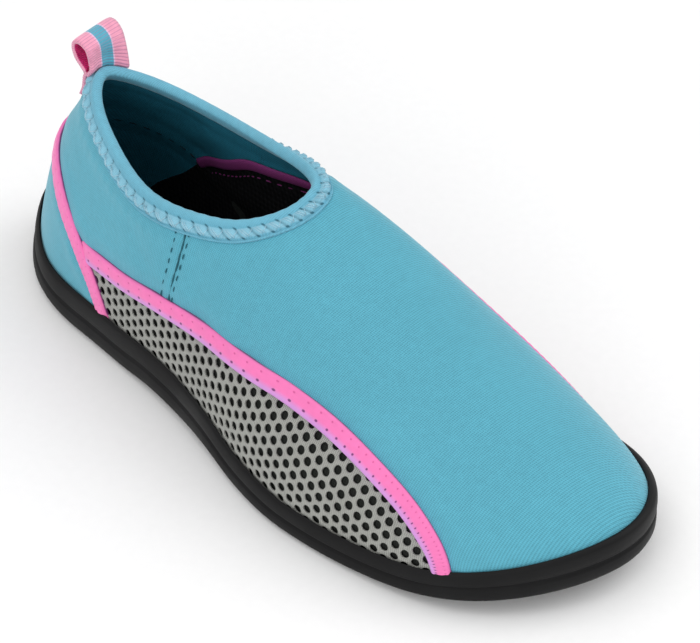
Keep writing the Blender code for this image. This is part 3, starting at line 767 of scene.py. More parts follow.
def cloth_map(tree):
    """Place on the piece's own map, in millimetres."""
    return node(tree, "UVMap", uv_map="cloth").outputs[0]


def finish_with(tree, shader, colour, height=None, strength=0.3, distance=0.0002):
    """Feed a colour, and a relief where there is one, to the shader."""
    tree.links.new(colour, shader.inputs["Base Color"])
    if height is not None:
        bump = node(tree, "Bump", {"Strength": strength, "Distance": distance, "Height": height})
        tree.links.new(bump.outputs[0], shader.inputs["Normal"])


def darker(colour, share):
    """The same colour, darker, for painted shade."""
    return tuple(share * value for value in colour)


def knit_height(tree, pitch, fuzz):
    """Height of a knit of a pitch in metres."""
    return placed(tree, KNIT, {"Vector": object_place(tree), "Pitch": pitch, "Fuzz": fuzz})["Height"]


def yarns(tree, height, colour, depth):
    """Cloth colour: full colour on the yarns, painted shade between them."""
    return mixed(tree, graded(tree, height, 0.0, 0.75), darker(colour, depth), colour)


def uneven(tree, colour, strength):
    """The colour, a little uneven in shade."""
    shade = placed(tree, MOTTLE, {"Vector": object_place(tree), "Strength": strength})["Shade"]
    grey = node(tree, "CombineColor", {0: shade, 1: shade, 2: shade}).outputs[0]
    return mixed(tree, 1.0, colour, grey, "MULTIPLY")


def inked(tree, mask, strength, body, colour):
    """A colour with another laid over it where a mask shows."""
    return mixed(tree, maths(tree, "MULTIPLY", mask, strength), body, colour)


def cloth_material(name, colour, depth, pitch, roughness, strength, mottle, specular, **own):
    """Knitted cloth with painted shade between its yarns, a little uneven in tone at random."""
    made, tree, shader = new_material(name, roughness, specular, **own)
    height = knit_height(tree, pitch, 0.7)
    body = uneven(tree, yarns(tree, height, colour, depth), mottle)
    finish_with(tree, shader, body, height, strength, 0.25 * pitch)
    return made


# Cloths: name, colour, share of the colour left in the painted shade between the yarns, pitch of the
# knit in metres, roughness, strength of the bump, unevenness of the shade and specular level
NEOPRENE = cloth_material("neoprene_aqua", AQUA, 0.66, 0.00085, 0.78, 0.42, 0.16, 0.3,
                          Sheen_Weight=0.35, Sheen_Roughness=0.45, Sheen_Tint=(0.75, 0.95, 1.0, 1.0))
LINING = cloth_material("lining_teal", TEAL_LINING, 0.5, 0.0009, 0.9, 0.5, 0.2, 0.2)
PALE_THREAD = cloth_material("thread_pale", THREAD_PALE, 0.6, 0.0005, 0.55, 0.4, 0.1, 0.5)
TEAL_THREAD = cloth_material("thread_teal", THREAD_TEAL, 0.6, 0.0005, 0.6, 0.4, 0.1, 0.4)
DARK_THREAD = cloth_material("thread_dark", THREAD_DARK, 0.25, 0.0005, 0.7, 0.4, 0.1, 0.2)
MESH_CLOTH = cloth_material("spacer_mesh_grey", MESH_GREY, 0.42, 0.00075, 0.85, 0.8, 0.3, 0.3,
                            Sheen_Weight=0.2)
BACKING = cloth_material("mesh_backing_dark", DARK_CLOTH, 0.4, 0.0010, 0.9, 0.8, 0.3, 0.3)
LINING_MESH = cloth_material("lining_mesh_black", BLACK_CLOTH, 0.16, 0.0024, 0.95, 1.0, 0.3, 0.15)
PLUM_TAPE = cloth_material("lining_tape_plum", LINING_PLUM, 0.5, 0.0008, 0.8, 0.4, 0.2, 0.5)
FOOTBED = cloth_material("insole_black_cloth", BLACK_FOOTBED, 0.2, 0.0012, 0.95, 0.7, 0.3, 0.15)
WEBBING_INSIDE = cloth_material("webbing_magenta", MAGENTA, 0.5, 0.0008, 0.65, 0.5, 0.2, 0.35)


def make_binding_material():
    """Soft blue band with a row of needle holes above and below its braid, the holes painted dark as shade,
    and painted shade along the cusps between the braid's lobes.
    """
    made, tree, shader = new_material("binding_blue", 0.74, 0.3, Sheen_Weight=0.3,
                                      Sheen_Roughness=0.4, Sheen_Tint=(0.8, 0.95, 1.0, 1.0))
    flat = cloth_map(tree)
    height = knit_height(tree, 0.0007, 0.9)
    slanted = node(tree, "VectorMath", {0: flat, 1: (1.0, HOLE_SLANT, 0.0)}, operation="DOT_PRODUCT")
    along = maths(tree, "SUBTRACT", slanted.outputs["Value"], HOLE_SHIFT)
    up = node(tree, "SeparateXYZ", {0: flat}).outputs[1]
    leaning = node(tree, "CombineXYZ", {0: along, 1: up}).outputs[0]
    holes = maths(tree, "ADD", *(
        placed(tree, STITCH, {"Vector": leaning, "Pitch": HOLE_STEP, "Row": row, "Radius": 0.60})["Hole"]
        for row in HOLE_ROWS))
    low, high = HOLE_ROWS
    in_braid = maths(tree, "MULTIPLY", graded(tree, up, low - 0.1, low + 0.4),
                     graded(tree, up, high - 0.4, high + 0.1, 1.0, 0.0))
    # Painted shade along the slanting cusps between the braid's lobes
    cusp = graded(tree, maths(tree, "PINGPONG", along, 0.5 * HOLE_STEP), 0.0, 0.9, 1.0, 0.0)
    furrow_shade = maths(tree, "MULTIPLY", in_braid, cusp)
    body = inked(tree, in_braid, 0.35, yarns(tree, height, BINDING_BLUE, 0.72), THREAD_PALE)
    body = inked(tree, furrow_shade, 0.45, body, darker(BINDING_BLUE, 0.45))
    # Painted shade in the needle holes
    body = uneven(tree, inked(tree, holes, 0.75, body, HOLE_SHADE_TEAL), 0.2)
    relief = maths(tree, "SUBTRACT", maths(tree, "MULTIPLY", height, 0.4), holes)
    finish_with(tree, shader, body, relief, 0.5, 0.00025)
    return made


def make_tape_material(name, pitch, lilac, rim, rows, distance):
    """Smooth pink tape with two rows of needle holes painted dark as shade, plum at its upper rim, lilac at
    its lower.
    """
    made, tree, shader = new_material(name, 0.58, 0.4, Sheen_Weight=0.25, Sheen_Tint=(1.0, 0.8, 0.95, 1.0))
    flat = cloth_map(tree)
    across = node(tree, "SeparateXYZ", {0: flat}).outputs[1]
    body = inked(tree, graded(tree, across, 1.0, 3.2, 1.0, 0.0), lilac, PINK, LILAC)
    body = mixed(tree, graded(tree, across, *rim), body, DEEP_PLUM)
    relief = maths(tree, "MULTIPLY", knit_height(tree, 0.0006, 0.9), 0.12)
    for row, radius, strength, colour, proud in rows:
        stitch = placed(tree, STITCH, {"Vector": flat, "Pitch": pitch, "Row": row, "Radius": radius})
        # Painted shade in each needle hole
        body = inked(tree, stitch["Hole"], strength, body, colour)
        relief = maths(tree, "SUBTRACT", relief, stitch["Hole"])
        relief = maths(tree, "ADD", relief, maths(tree, "MULTIPLY", stitch["Thread"], proud))
    finish_with(tree, shader, uneven(tree, body, 0.14), relief, 0.5, distance)
    return made


def make_webbing_material():
    """Ribbed webbing, a blue stripe between two pink ones, with pale lines where they meet and painted
    shade in the furrows between its ribs.
    """
    made, tree, shader = new_material("webbing_striped", 0.6, 0.4, Sheen_Weight=0.3)
    parts = node(tree, "SeparateXYZ", {0: cloth_map(tree)})
    off = maths(tree, "ABSOLUTE", maths(tree, "SUBTRACT", parts.outputs[1], 500.0 * WEBBING_WIDTH))
    furrow_shade = graded(tree, maths(tree, "PINGPONG", parts.outputs[0], 500.0 * RIB_PITCH), 0.0, 0.22, 1.0, 0.0)
    line = maths(tree, "MULTIPLY", graded(tree, off, 2.1, 2.3), graded(tree, off, 2.5, 2.8, 1.0, 0.0))
    body = mixed(tree, graded(tree, off, 2.15, 2.35), WEBBING_BLUE, WEBBING_PINK)
    body = inked(tree, line, 0.6, body, WEBBING_PALE)
    # Painted shade in the furrows between the ribs
    body = inked(tree, furrow_shade, 0.45, body, WEBBING_SHADE)
    finish_with(tree, shader, uneven(tree, body, 0.3), knit_height(tree, 0.0007, 0.8), 0.3, 0.00015)
    return made


def make_rubber_material():
    """Black moulded rubber: fine grain, uneven gloss and a trace of dust."""
    made, tree, shader = new_material("sole_rubber_black", 0.62, 0.20)
    place = object_place(tree)
    grain = node(tree, "TexNoise", {"Vector": place, "Scale": 1500.0, "Detail": 3.0}).outputs["Fac"]
    patches = node(tree, "TexNoise", {"Vector": place, "Scale": 45.0, "Detail": 4.0}).outputs["Fac"]
    body = inked(tree, graded(tree, patches, 0.52, 0.78), 0.35, RUBBER_BLACK, RUBBER_DUST)
    tree.links.new(graded(tree, patches, 0.3, 0.75, 0.54, 0.70), shader.inputs["Roughness"])
    finish_with(tree, shader, body, grain, 0.25, 0.00012)
    return made


def make_floor_material():
    """Plain pale paper."""
    made, tree, shader = new_material("floor_paper", 0.95, 0.1)
    fibre = node(tree, "TexNoise", {"Vector": object_place(tree), "Scale": 300.0, "Detail": 2.0})
    finish_with(tree, shader, mixed(tree, fibre.outputs["Fac"], PAPER, PAPER_PALE))
    return made


BINDING = make_binding_material()
# Rows of needle holes: place and radius in millimetres, strength and colour of the painted shade in the
# hole, and how proud the thread between the holes stands
TAPE = make_tape_material("tape_pink", SIDE_STITCH_PITCH, 1.0, (6.25, 6.50), (
    (SIDE_STITCH_ROWS[1], 0.32, 0.55, TAPE_HOLE_SHADE, 0.0),
    (SIDE_STITCH_ROWS[0], 0.44, 0.92, DEEP_PLUM, 0.35)), 0.0003)
HEEL_TAPE_CLOTH = make_tape_material("heel_tape_pink", HEEL_STITCH_PITCH, 0.0, (5.50, 5.70), (
    (HEEL_STITCH_ROWS[0], 0.26, 0.5, TAPE_HOLE_SHADE, 0.0),
    (HEEL_STITCH_ROWS[1], 0.26, 0.5, TAPE_HOLE_SHADE, 0.0)), 0.00025)
WEBBING = make_webbing_material()
RUBBER = make_rubber_material()


# Windows in the upper's sides

# A climb surely below the feather edge
BELOW_FOOT = -0.05


def seam_table(side):
    """The side tape's line, and the sign that turns a step beside it upwards."""
    if side == "lateral":
        return LATERAL_TAPE, 1.0
    return MEDIAL_TAPE, -1.0


def side_line(table, side, own_side, count):
    """Line through a table's points; the other side of the shoe mirrors its own."""
    line = open_curve(table, count)
    if side != own_side:
        line[:, 0] = 1.0 - line[:, 0]
    return line


def heel_line(side, count):
    """Half of the heel tape's line, from the back of the heel down to the feather edge."""
    return side_line(HEEL_TAPE, side, "lateral", count)


def window_edges(side, grow):
    """Upper and lower edge of a side window as turn and climb, moved outwards by grow."""
    columns, heel_columns = 96, 20
    table, sign = seam_table(side)
    top = beside(open_curve(table, columns), sign * grow)
    heel = beside(heel_line(side, 120), -sign * grow)
    below = heel[heel[:, 1] < top[0, 1] - 0.03]
    on_heel = rows_at(below, np.linspace(0.0, len(below) - 1.0, heel_columns))
    shares = np.linspace(0.0, 1.0, columns - heel_columns + 1)[1:]
    on_foot = np.column_stack([below[-1, 0] + (top[-1, 0] - below[-1, 0]) * shares,
                               np.zeros(len(shares))])
    return top, np.vstack([on_heel, on_foot])


def inside_loop(points, loop):
    """Which points lie inside a closed loop."""
    inside = np.zeros(len(points), bool)
    x, y = points[:, 0], points[:, 1]
    for first, second in zip(loop, np.roll(loop, -1, axis=0)):
        crosses = (first[1] > y) != (second[1] > y)
        rise = second[1] - first[1]
        if rise != 0.0:
            meets = first[0] + (y - first[1]) * (second[0] - first[0]) / rise
            inside ^= crosses & (x < meets)
    return inside


def in_window(side, points):
    """Which turn and climb pairs lie in a side window, or below it."""
    top, lower = window_edges(side, 0.0)
    loop = np.vstack([top, lower[::-1]])
    loop[loop[:, 1] <= 0.0, 1] = BELOW_FOOT
    loop[len(top) - 1, 1] = BELOW_FOOT
    return inside_loop(points, loop)


# The neoprene upper


def nearest_run(points, line):
    """Distance of each point from a line of points on the shoe, and the run along the line."""
    best = np.full(len(points), 1e9)
    run = np.zeros(len(points))
    for spot, far in zip(line, run_along(line)):
        away = np.linalg.norm(points - spot, axis=1)
        closer = away < best
        best[closer] = away[closer]
        run[closer] = far
    return best, run


def signed_distance(points, path):
    """Distance from a path given as turn and climb, plus on its left side."""
    line = on_last(path)
    left = unit(on_last(path + 1e-4 * sideways_step(path)) - line)
    away, run = nearest_run(points, line)
    nearest = np.searchsorted(run_along(line), run)
    return away * np.sign(np.einsum("ij,ij->i", points - line[nearest], left[nearest]))


def crease_relief(turn, climb):
    """Height of the soft creases."""
    relief = np.zeros_like(turn)
    for at_turn, at_climb, degrees, long, wide, high in CREASES:
        round_shoe, up_rib = tangents(at_turn, at_climb)
        turn_off = np.mod(turn - at_turn + 0.5, 1.0) - 0.5
        level = unit(round_shoe)
        upwards = np.cross(unit(np.cross(round_shoe, up_rib)), level)
        away = 1000.0 * (turn_off[:, None] * round_shoe + (climb - at_climb)[:, None] * up_rib)
        angle = math.radians(degrees)
        along = away @ (level * math.cos(angle) + upwards * math.sin(angle))
        over = away @ (upwards * math.cos(angle) - level * math.sin(angle))
        relief += 0.001 * high * bell(along, long) * bell(over, wide)
    return relief


def upper_relief(turn, climb):
    """How far the neoprene stands off the last: creases, and the pull of every seam."""
    points = rib(turn, climb)
    relief = crease_relief(turn, climb)
    for table, trough, trough_width, swell, off, swell_width in SEAM_PULLS:
        away, _ = nearest_run(points, on_last(open_curve(table, 160)))
        relief += trough * bell(away, trough_width) + swell * bell(away - off, swell_width)
    collar = np.linspace(0.0, 1.0, 500)
    low = climb_below_collar(collar, BINDING_WIDTH)
    away, run = nearest_run(points, rib(collar, low))
    pucker = 0.75 + 0.25 * np.cos(2.0 * math.pi * run / BRAID_PITCH)
    high, place, width = COLLAR_SWELL
    swell = high * bell(away - place, width) * pucker
    relief += np.where(climb < np.interp(turn, collar, low), swell, 0.0)
    for seam, sign in COLLAR_SEAMS:
        off = sign * signed_distance(points, open_curve(seam, 120))
        high, place, width = SEAM_SWELL
        near = bell(np.clip(np.abs(off) - 0.001, 0.0, None), 0.0060)
        relief += high * bell(off - place, width) * near
        for high, place, width in SEAM_GROOVES:
            relief += high * bell(off - place, width)
    return relief


def make_upper():
    """Neoprene shell, aqua outside and teal inside, open at the collar, underneath and sides."""
    sheet = flat_sheet(400, 104)
    centres = np.array([face.calc_center_median()[:2] for face in sheet.faces])
    cut = in_window("lateral", centres) | in_window("medial", centres)
    delete_faces(sheet, cut)
    shape(sheet, lambda turn, climb: skin(turn, climb, upper_relief(turn, climb)))
    close_seams(sheet)
    wall(piece(sheet, "upper_shell", (NEOPRENE, LINING), "upper"), WALL, 1)


# Mesh panels

# Turns between which the lateral side is laid flat; the medial side mirrors them
LATERAL_SPAN = (0.09, 0.47)

def panel_layout(side):
    """Flat layout of one side of the shoe: metres along the foot line and metres up from it."""
    start, end = LATERAL_SPAN if side == "lateral" else (1.0 - LATERAL_SPAN[1], 1.0 - LATERAL_SPAN[0])
    turns = np.linspace(start, end, 420)
    foot = rib(turns, 0.0)
    reach = run_along(foot)

    def unroll(turn, climb):
        points = rib(turn, climb)
        away = np.linalg.norm(points[:, None, :2] - foot[None, :, :2], axis=-1)
        nearest = np.clip(away.argmin(axis=1), 1, len(turns) - 2)
        along = unit(foot[nearest + 1, :2] - foot[nearest - 1, :2])
        gap = points - foot[nearest]
        shift = (gap[:, :2] * along).sum(axis=1)
        out = gap[:, 0] * along[:, 1] - gap[:, 1] * along[:, 0]
        return np.column_stack([reach[nearest] + shift, np.hypot(out, gap[:, 2])])

    turn_grid, climb_grid = np.meshgrid(turns[::8], np.linspace(0.02, 0.75, 40))
    known = np.column_stack([turn_grid.ravel(), climb_grid.ravel()])
    laid = unroll(known[:, 0], known[:, 1])

    def roll(s, t):
        """Turn and climb of places in the flat layout."""
        wanted = np.column_stack([s, t])
        nearest = ((wanted[:, None] - laid[None]) ** 2).sum(axis=-1).argmin(axis=1)
        found = known[nearest].copy()
        small = 1e-3
        for _ in range(5):
            here = unroll(found[:, 0], found[:, 1])
            by_turn = (unroll(found[:, 0] + small, found[:, 1]) - here) / small
            by_climb = (unroll(found[:, 0], found[:, 1] + small) - here) / small
            miss = wanted - here
            spread = by_turn[:, 0] * by_climb[:, 1] - by_turn[:, 1] * by_climb[:, 0]
            turn_step = (miss[:, 0] * by_climb[:, 1] - miss[:, 1] * by_climb[:, 0]) / spread
            climb_step = (by_turn[:, 0] * miss[:, 1] - by_turn[:, 1] * miss[:, 0]) / spread
            found[:, 0] += np.clip(turn_step, -0.02, 0.02)
            found[:, 1] += np.clip(climb_step, -0.08, 0.08)
            found[:, 1] = np.clip(found[:, 1], -0.02, 0.9)
        return found

    return unroll, roll


HOLE_PITCH = 0.0041
HOLE_INSET = 0.00056
MESH_THICKNESS = 0.0006
MESH_SUNK = 0.0001
# How far the mesh runs on under the tapes
MESH_MARGIN = 0.0012
BACKING_MARGIN = 0.0018
BACKING_DEPTH = 0.0015
BACKING_THICKNESS = 0.0010


def make_mesh_panel(side):
    """Perforated spacer mesh: staggered round holes, cut to the window and a little under the tapes."""
    unroll, roll = panel_layout(side)
    top, lower = window_edges(side, 0.0)
    loop = unroll(*np.vstack([top, lower[::-1]]).T)
    lane = HOLE_PITCH * math.sqrt(3.0) / 2.0
    low, high = loop.min(axis=0), loop.max(axis=0)
    columns = int((high[0] - low[0]) / lane) + 3
    rows = 2 * int((high[1] - low[1]) / HOLE_PITCH) + 6
    sheet = bmesh.new()
    bmesh.ops.create_grid(sheet, x_segments=columns, y_segments=rows, size=0.5)
    for v in sheet.verts:
        i = round((v.co.x + 0.5) * columns)
        j = round((v.co.y + 0.5) * rows)
        swing = lane / 6.0 if (i + j) % 2 == 0 else -lane / 6.0
        v.co = (low[0] + (i - 1) * lane + swing, low[1] + (j - 2) * 0.5 * HOLE_PITCH, 0.0)
        v.index = i * (rows + 1) + j
    edges = []
    for edge in sheet.edges:
        first, second = (divmod(v.index, rows + 1) for v in edge.verts)
        if first[1] == second[1] and (min(first[0], second[0]) + first[1]) % 2 == 1:
            edges.append(edge)
    bmesh.ops.dissolve_edges(sheet, edges=edges, use_verts=False)
    centres = np.array([face.calc_center_median()[:2] for face in sheet.faces])
    inside = inside_loop(centres, loop)
    near = np.array([np.linalg.norm(loop - centre, axis=1).min() < MESH_MARGIN for centre in centres])
    whole = np.array([len(face.verts) == 6 for face in sheet.faces])
    delete_faces(sheet, ~((inside | near) & whole))
    cells = list(sheet.faces)
    bmesh.ops.inset_individual(sheet, faces=cells, thickness=HOLE_INSET, use_even_offset=True)
    bmesh.ops.delete(sheet, geom=cells, context="FACES")

    def on_shoe(s, t):
        turn, climb = roll(s, t).T
        return skin(turn, np.maximum(climb, 0.0), -MESH_SUNK)

    shape(sheet, on_shoe)
    made = piece(sheet, "spacer_mesh_" + side, (MESH_CLOTH,), "mesh_panel_" + side)
    smooth = made.modifiers.new("smooth", "SUBSURF")
    smooth.levels = 2
    smooth.render_levels = 2
    wall(made, MESH_THICKNESS)


def make_mesh_backing(side):
    """Dark cloth behind the holes, which is also the lining of the window."""
    top, lower = window_edges(side, BACKING_MARGIN)
    columns = len(top) - 1
    sheet = flat_sheet(columns, 30)

    def on_shoe(x, y):
        low = rows_at(lower, x * columns)
        turn, climb = (low + (rows_at(top, x * columns) - low) * y[:, None]).T
        return skin(turn, np.maximum(climb, 0.0), -BACKING_DEPTH)

    shape(sheet, on_shoe)
    made = piece(sheet, "mesh_backing_" + side, (BACKING,), "mesh_panel_" + side, side == "medial")
    wall(made, BACKING_THICKNESS)


# Tapes

# Over what length a tape's end goes flat where it runs in under the lip or another tape
TUCK_LENGTH = 0.0040
TAPE_WALL = 0.0004
TAPE_RIM_DROP = 0.00045
LOWEST_TAPE_CLIMB = 0.02
# How deep the needle holes draw a tape in
DIMPLE_DEPTH = 0.00018
# How near to the heel tape's middle a side tape comes before it ends
TAPE_END_GAP = 0.0010
# How far the medial tape is sewn above the middle of its seam
MEDIAL_TAPE_RAISE = 0.0026


def above_lip(line, count):
    """The part of a seam line that shows above the sole's lip, in count even steps."""
    fine = open_curve(line, 400)
    seen = fine[fine[:, 1] > lip_climb(fine[:, 0], -0.0016)]
    return open_curve(seen[np.linspace(0, len(seen) - 1, count).astype(int)], count)


def stitch_dimples(along, across, pitch, rows):
    """Depth of the needle holes in a tape, in metres, with places in millimetres."""
    depth = np.zeros_like(along)
    from_hole = np.abs(np.mod(along + 0.5 * pitch, pitch) - 0.5 * pitch)
    for row in rows:
        depth += bell(np.hypot(from_hole, 0.7 * (across - row)), 0.75)
        depth += 0.45 * bell(across - row, 0.6)
    return DIMPLE_DEPTH * depth


def make_tape(name, line, width, sign, finish, stands_for, pitch, rows):
    """Tape sewn over a seam, crowned between its edges and drawn in at every needle hole."""
    columns = 420
    path = above_lip(line, columns + 1)
    length = run_along(on_last(path))[-1]
    places = strip_places(path, sign * width)
    sheet = flat_sheet(columns, 16)
    lay_map(sheet, 1000.0 * length, 1000.0 * width)

    def on_shoe(x, y):
        turn, climb = places(x, y).T
        rim = np.abs(2.0 * y - 1.0)
        tucked = 0.25 + 0.75 * ease(np.minimum(x, 1.0 - x) * length / TUCK_LENGTH)
        crown = tucked * (SEWN_GAP + TAPE_THICKNESS) * (1.0 - rim ** 7) ** 0.7 - TAPE_RIM_DROP * rim ** 12
        crown -= stitch_dimples(1000.0 * length * x, 1000.0 * width * y, pitch, rows)
        return skin(turn, np.maximum(climb, LOWEST_TAPE_CLIMB), crown)

    shape(sheet, on_shoe)
    wall(piece(sheet, name, (finish,), stands_for, sign < 0.0), TAPE_WALL)


def make_side_tape(side):
    """Tape over the upper edge of a mesh panel; it comes out from under the heel tape."""
    table, sign = seam_table(side)
    line = open_curve(table, 200)
    heel = on_last(heel_line(side, 200))
    apart = np.linalg.norm(on_last(line)[:, None] - heel[None], axis=-1).min(axis=1)
    line = line[apart > TAPE_END_GAP]
    if side == "medial":
        line = beside(line, sign * MEDIAL_TAPE_RAISE)
    make_tape("tape_side_" + side, line, SIDE_TAPE_WIDTH, sign, TAPE, "side_tape_" + side,
              SIDE_STITCH_PITCH, SIDE_STITCH_ROWS)


def make_heel_tape():
    """One tape round the back of the heel, lying over the ends of the side tapes."""
    make_tape("tape_round_heel", HEEL_ROUND, HEEL_TAPE_WIDTH, 1.0, HEEL_TAPE_CLOTH, "heel_tape",
              HEEL_STITCH_PITCH, HEEL_STITCH_ROWS)


LINING_MESH_PROUD = 0.0006
LINING_TAPE_WIDTH = 0.0042
LINING_TAPE_THICKNESS = 0.0006
LINING_WALL = 0.0003
LOWEST_LINING_CLIMB = 0.01
# How far the lining's tape and its stitches stand off the mesh
LINING_SEWN_GAP = 0.0001
# First point of LINING_EDGE that the tape covers
LINING_TAPE_START = 3


def lining_edge(side, first, count):
    """Upper edge of the lining's black mesh, from one of its points on."""
    return side_line(LINING_EDGE[first:], side, "medial", count)


def make_lining_mesh(side):
    """Black mesh that lines the side of the shoe up to its taped edge."""
    columns = 110
    edge = lining_edge(side, 0, columns + 1)
    sheet = flat_sheet(columns, 24)

    def inside_shoe(x, y):
        low = np.column_stack([edge[0, 0] + (edge[-1, 0] - edge[0, 0]) * x,
                               np.full_like(x, LOWEST_LINING_CLIMB)])
        turn, climb = (low + (rows_at(edge, x * columns) - low) * y[:, None]).T
        return skin(turn, climb, upper_relief(turn, climb) - WALL - LINING_MESH_PROUD)

    shape(sheet, inside_shoe)
    wall(piece(sheet, "lining_mesh_" + side, (LINING_MESH,), None, side == "lateral"), LINING_WALL)


def make_lining_tape(side):
    """Plum tape over the upper edge of the black lining mesh."""
    columns = 200
    path = lining_edge(side, LINING_TAPE_START, columns + 1)
    places = strip_places(path, seam_table(side)[1] * LINING_TAPE_WIDTH)
    sheet = flat_sheet(columns, 6)

    def inside_shoe(x, y):
        turn, climb = places(x, y).T
        crown = LINING_TAPE_THICKNESS * (1.0 - np.abs(2.0 * y - 1.0) ** 4) + LINING_SEWN_GAP
        return skin(turn, np.maximum(climb, LOWEST_LINING_CLIMB), -WALL - LINING_MESH_PROUD - crown)

    shape(sheet, inside_shoe)
    wall(piece(sheet, "lining_tape_" + side, (PLUM_TAPE,), None, side == "lateral"), LINING_WALL)


# Collar binding

BRAID_PITCH = 0.0050
BRAID_COUNT = 49
# Section of the band from its lower edge outside, over the collar, to its edge inside:
# distance below the collar edge, distance off the last, and how much of the braid shows there
BAND_SECTION = (
    (0.0062, 0.00005, 0.0),
    (0.0062, 0.00055, 0.0),
    (0.0059, 0.00085, 0.0),
    (0.0056, 0.00070, 0.0),
    (0.0054, 0.00042, 0.0),
    (0.0051, 0.00045, 0.35),
    (0.0047, 0.00058, 0.80),
    (0.0042, 0.00070, 1.0),
    (0.0037, 0.00074, 1.0),
    (0.0032, 0.00070, 1.0),
    (0.0027, 0.00060, 0.85),
    (0.0022, 0.00050, 0.50),
    (0.0018, 0.00042, 0.0),
    (0.0014, 0.00058, 0.0),
    (0.0009, 0.00066, 0.0),
    (0.0004, 0.00068, 0.0),
    (0.0000, 0.00068, 0.0),
)
# Step of the band's map for each row of the section, in millimetres
BAND_ROW_STEP = 0.5
# Depths below the collar edge between which the braid lies, and how far its lobes slant
BRAID_TOP = 0.0019
BRAID_FOOT = 0.0053
BRAID_SLANT = 0.55
BRAID_LIFT = 0.00120
NEEDLE_DEPTH = 0.00100
# How far the band's smooth roll stands above the collar edge and off the last
ROLL_RISE = 0.0011
ROLL_OFF = 0.00068
# The band's inner fold: distance below the collar edge and distance off the lining
BAND_INSIDE = ((0.0, 0.0007), (0.0010, 0.0007), (0.0020, 0.0007), (0.0027, 0.0006), (BINDING_FOLD, 0.0001))
# Threads over each lobe of the braid: where along the lobe and how far below the collar edge each
# starts, and where it ends
BRAID_STRANDS = ((0.10, 0.0023, 0.64, 0.0050), (0.26, 0.0022, 0.80, 0.0049), (0.68, 0.0050, 0.96, 0.0023))
BRAID_THREAD_RADIUS = 0.00015
# How far the threads lie off the last at their ends, and how much more in their middle
BRAID_THREAD_OFF = 0.00058
BRAID_THREAD_ARCH = 0.00022
# How wide a needle hole draws the braid in
NEEDLE_RADIUS = 0.0007


def braid_lift(place, below):
    """Height of the braid: rounded lobes that slant from hole to hole, drawn in at the holes."""
    share = np.clip((below - BRAID_TOP) / (BRAID_FOOT - BRAID_TOP), 0.0, 1.0)
    phase = place / BRAID_PITCH - BRAID_SLANT * (share - 0.5)
    lobes = BRAID_LIFT * np.abs(np.sin(math.pi * phase)) ** 0.6
    from_hole = BRAID_PITCH * (np.mod(phase + 0.5, 1.0) - 0.5)
    at_ends = bell(share, 0.22) + bell(share - 1.0, 0.22)
    return lobes - NEEDLE_DEPTH * bell(from_hole, NEEDLE_RADIUS) * at_ends


def even_turns(columns):
    """Turns at even distances along the collar."""
    fine = np.linspace(0.0, 1.0, 1601)
    reach = run_along(rib(fine, 0.93))
    return np.interp(np.linspace(0.0, reach[-1], columns + 1), reach, fine)


def make_collar_binding():
    """Band folded over the collar: a smooth roll, the sewn braid below it and a thin lower edge."""
    columns = BRAID_COUNT * 14
    turn = even_turns(columns)
    places = np.linspace(0.0, BRAID_PITCH * BRAID_COUNT, columns + 1)
    rings = []
    for below, off, braid in BAND_SECTION:
        lift = off + braid * braid_lift(places, below)
        rings.append(skin(turn, climb_below_collar(turn, below), lift))
    upwards = unit(tangents(turn, 1.0)[1])
    outwards = skin(turn, 1.0, 1.0) - skin(turn, 1.0)
    middle = skin(turn, 1.0, -0.5 * WALL)
    rise = ROLL_RISE * (1.0 + 0.06 * np.sin(2.0 * math.pi * places / BRAID_PITCH))
    for angle in np.radians(np.arange(18, 180, 18)):
        rings.append(middle + upwards * (rise * math.sin(angle))[:, None]
                     + outwards * (0.5 * WALL + ROLL_OFF) * math.cos(angle))
    for below, off in BAND_INSIDE:
        rings.append(skin(turn, climb_below_collar(turn, below), -(WALL + off)))
    rows = len(rings)
    sheet = flat_sheet(columns, rows)
    lay_map(sheet, 1000.0 * BRAID_PITCH * BRAID_COUNT, BAND_ROW_STEP * rows)
    shape(sheet, on_grid(np.array(rings + rings[:1]).swapaxes(0, 1)))
    close_seams(sheet, 2e-6)
    piece(sheet, "collar_band", (BINDING,), "collar_binding")


def make_braid_threads():
    """Pale threads of the braid: two slanted strands and one cross strand for each lobe."""
    sheet = bmesh.new()
    turn = even_turns(BRAID_COUNT * 20)
    spots = np.linspace(0.0, BRAID_COUNT, BRAID_COUNT * 20 + 1)
    shares = np.linspace(0.0, 1.0, 7)
    for i in range(BRAID_COUNT):
        for start, first_below, end, last_below in BRAID_STRANDS:
            place = i + start + (end - start) * shares
            below = first_below + (last_below - first_below) * shares
            at = np.interp(np.mod(place, BRAID_COUNT), spots, turn)
            lift = BRAID_THREAD_OFF + BRAID_THREAD_ARCH * np.sin(math.pi * shares)
            fit = ease((below - BRAID_TOP + 0.0003) / 0.0010) * ease((BRAID_FOOT + 0.0003 - below) / 0.0010)
            lift += np.maximum(braid_lift(place * BRAID_PITCH, below), 0.0) * fit
            thread(sheet, skin(at, climb_below_collar(at, below), lift), BRAID_THREAD_RADIUS)
    thread_piece(sheet, "braid_threads", PALE_THREAD, "collar_binding")


STITCH_ARCH = 0.00022
LOWEST_STITCH_CLIMB = 0.06
SEAM_STITCH_PITCH = 0.0034
# Rows of thread at the collar's side seams: distance towards the heel, share of the pitch that each
# stitch covers, distance off the last and radius; the last row closes the joined edges
SEAM_ROWS = (
    (0.0034, (0.08, 0.62), -0.00005, 0.00026),
    (-0.0015, (0.08, 0.62), -0.00005, 0.00026),
    (0.0, (-0.2, 1.2), -0.00030, 0.00032),
)
LINING_STITCH_PITCH = 0.0036


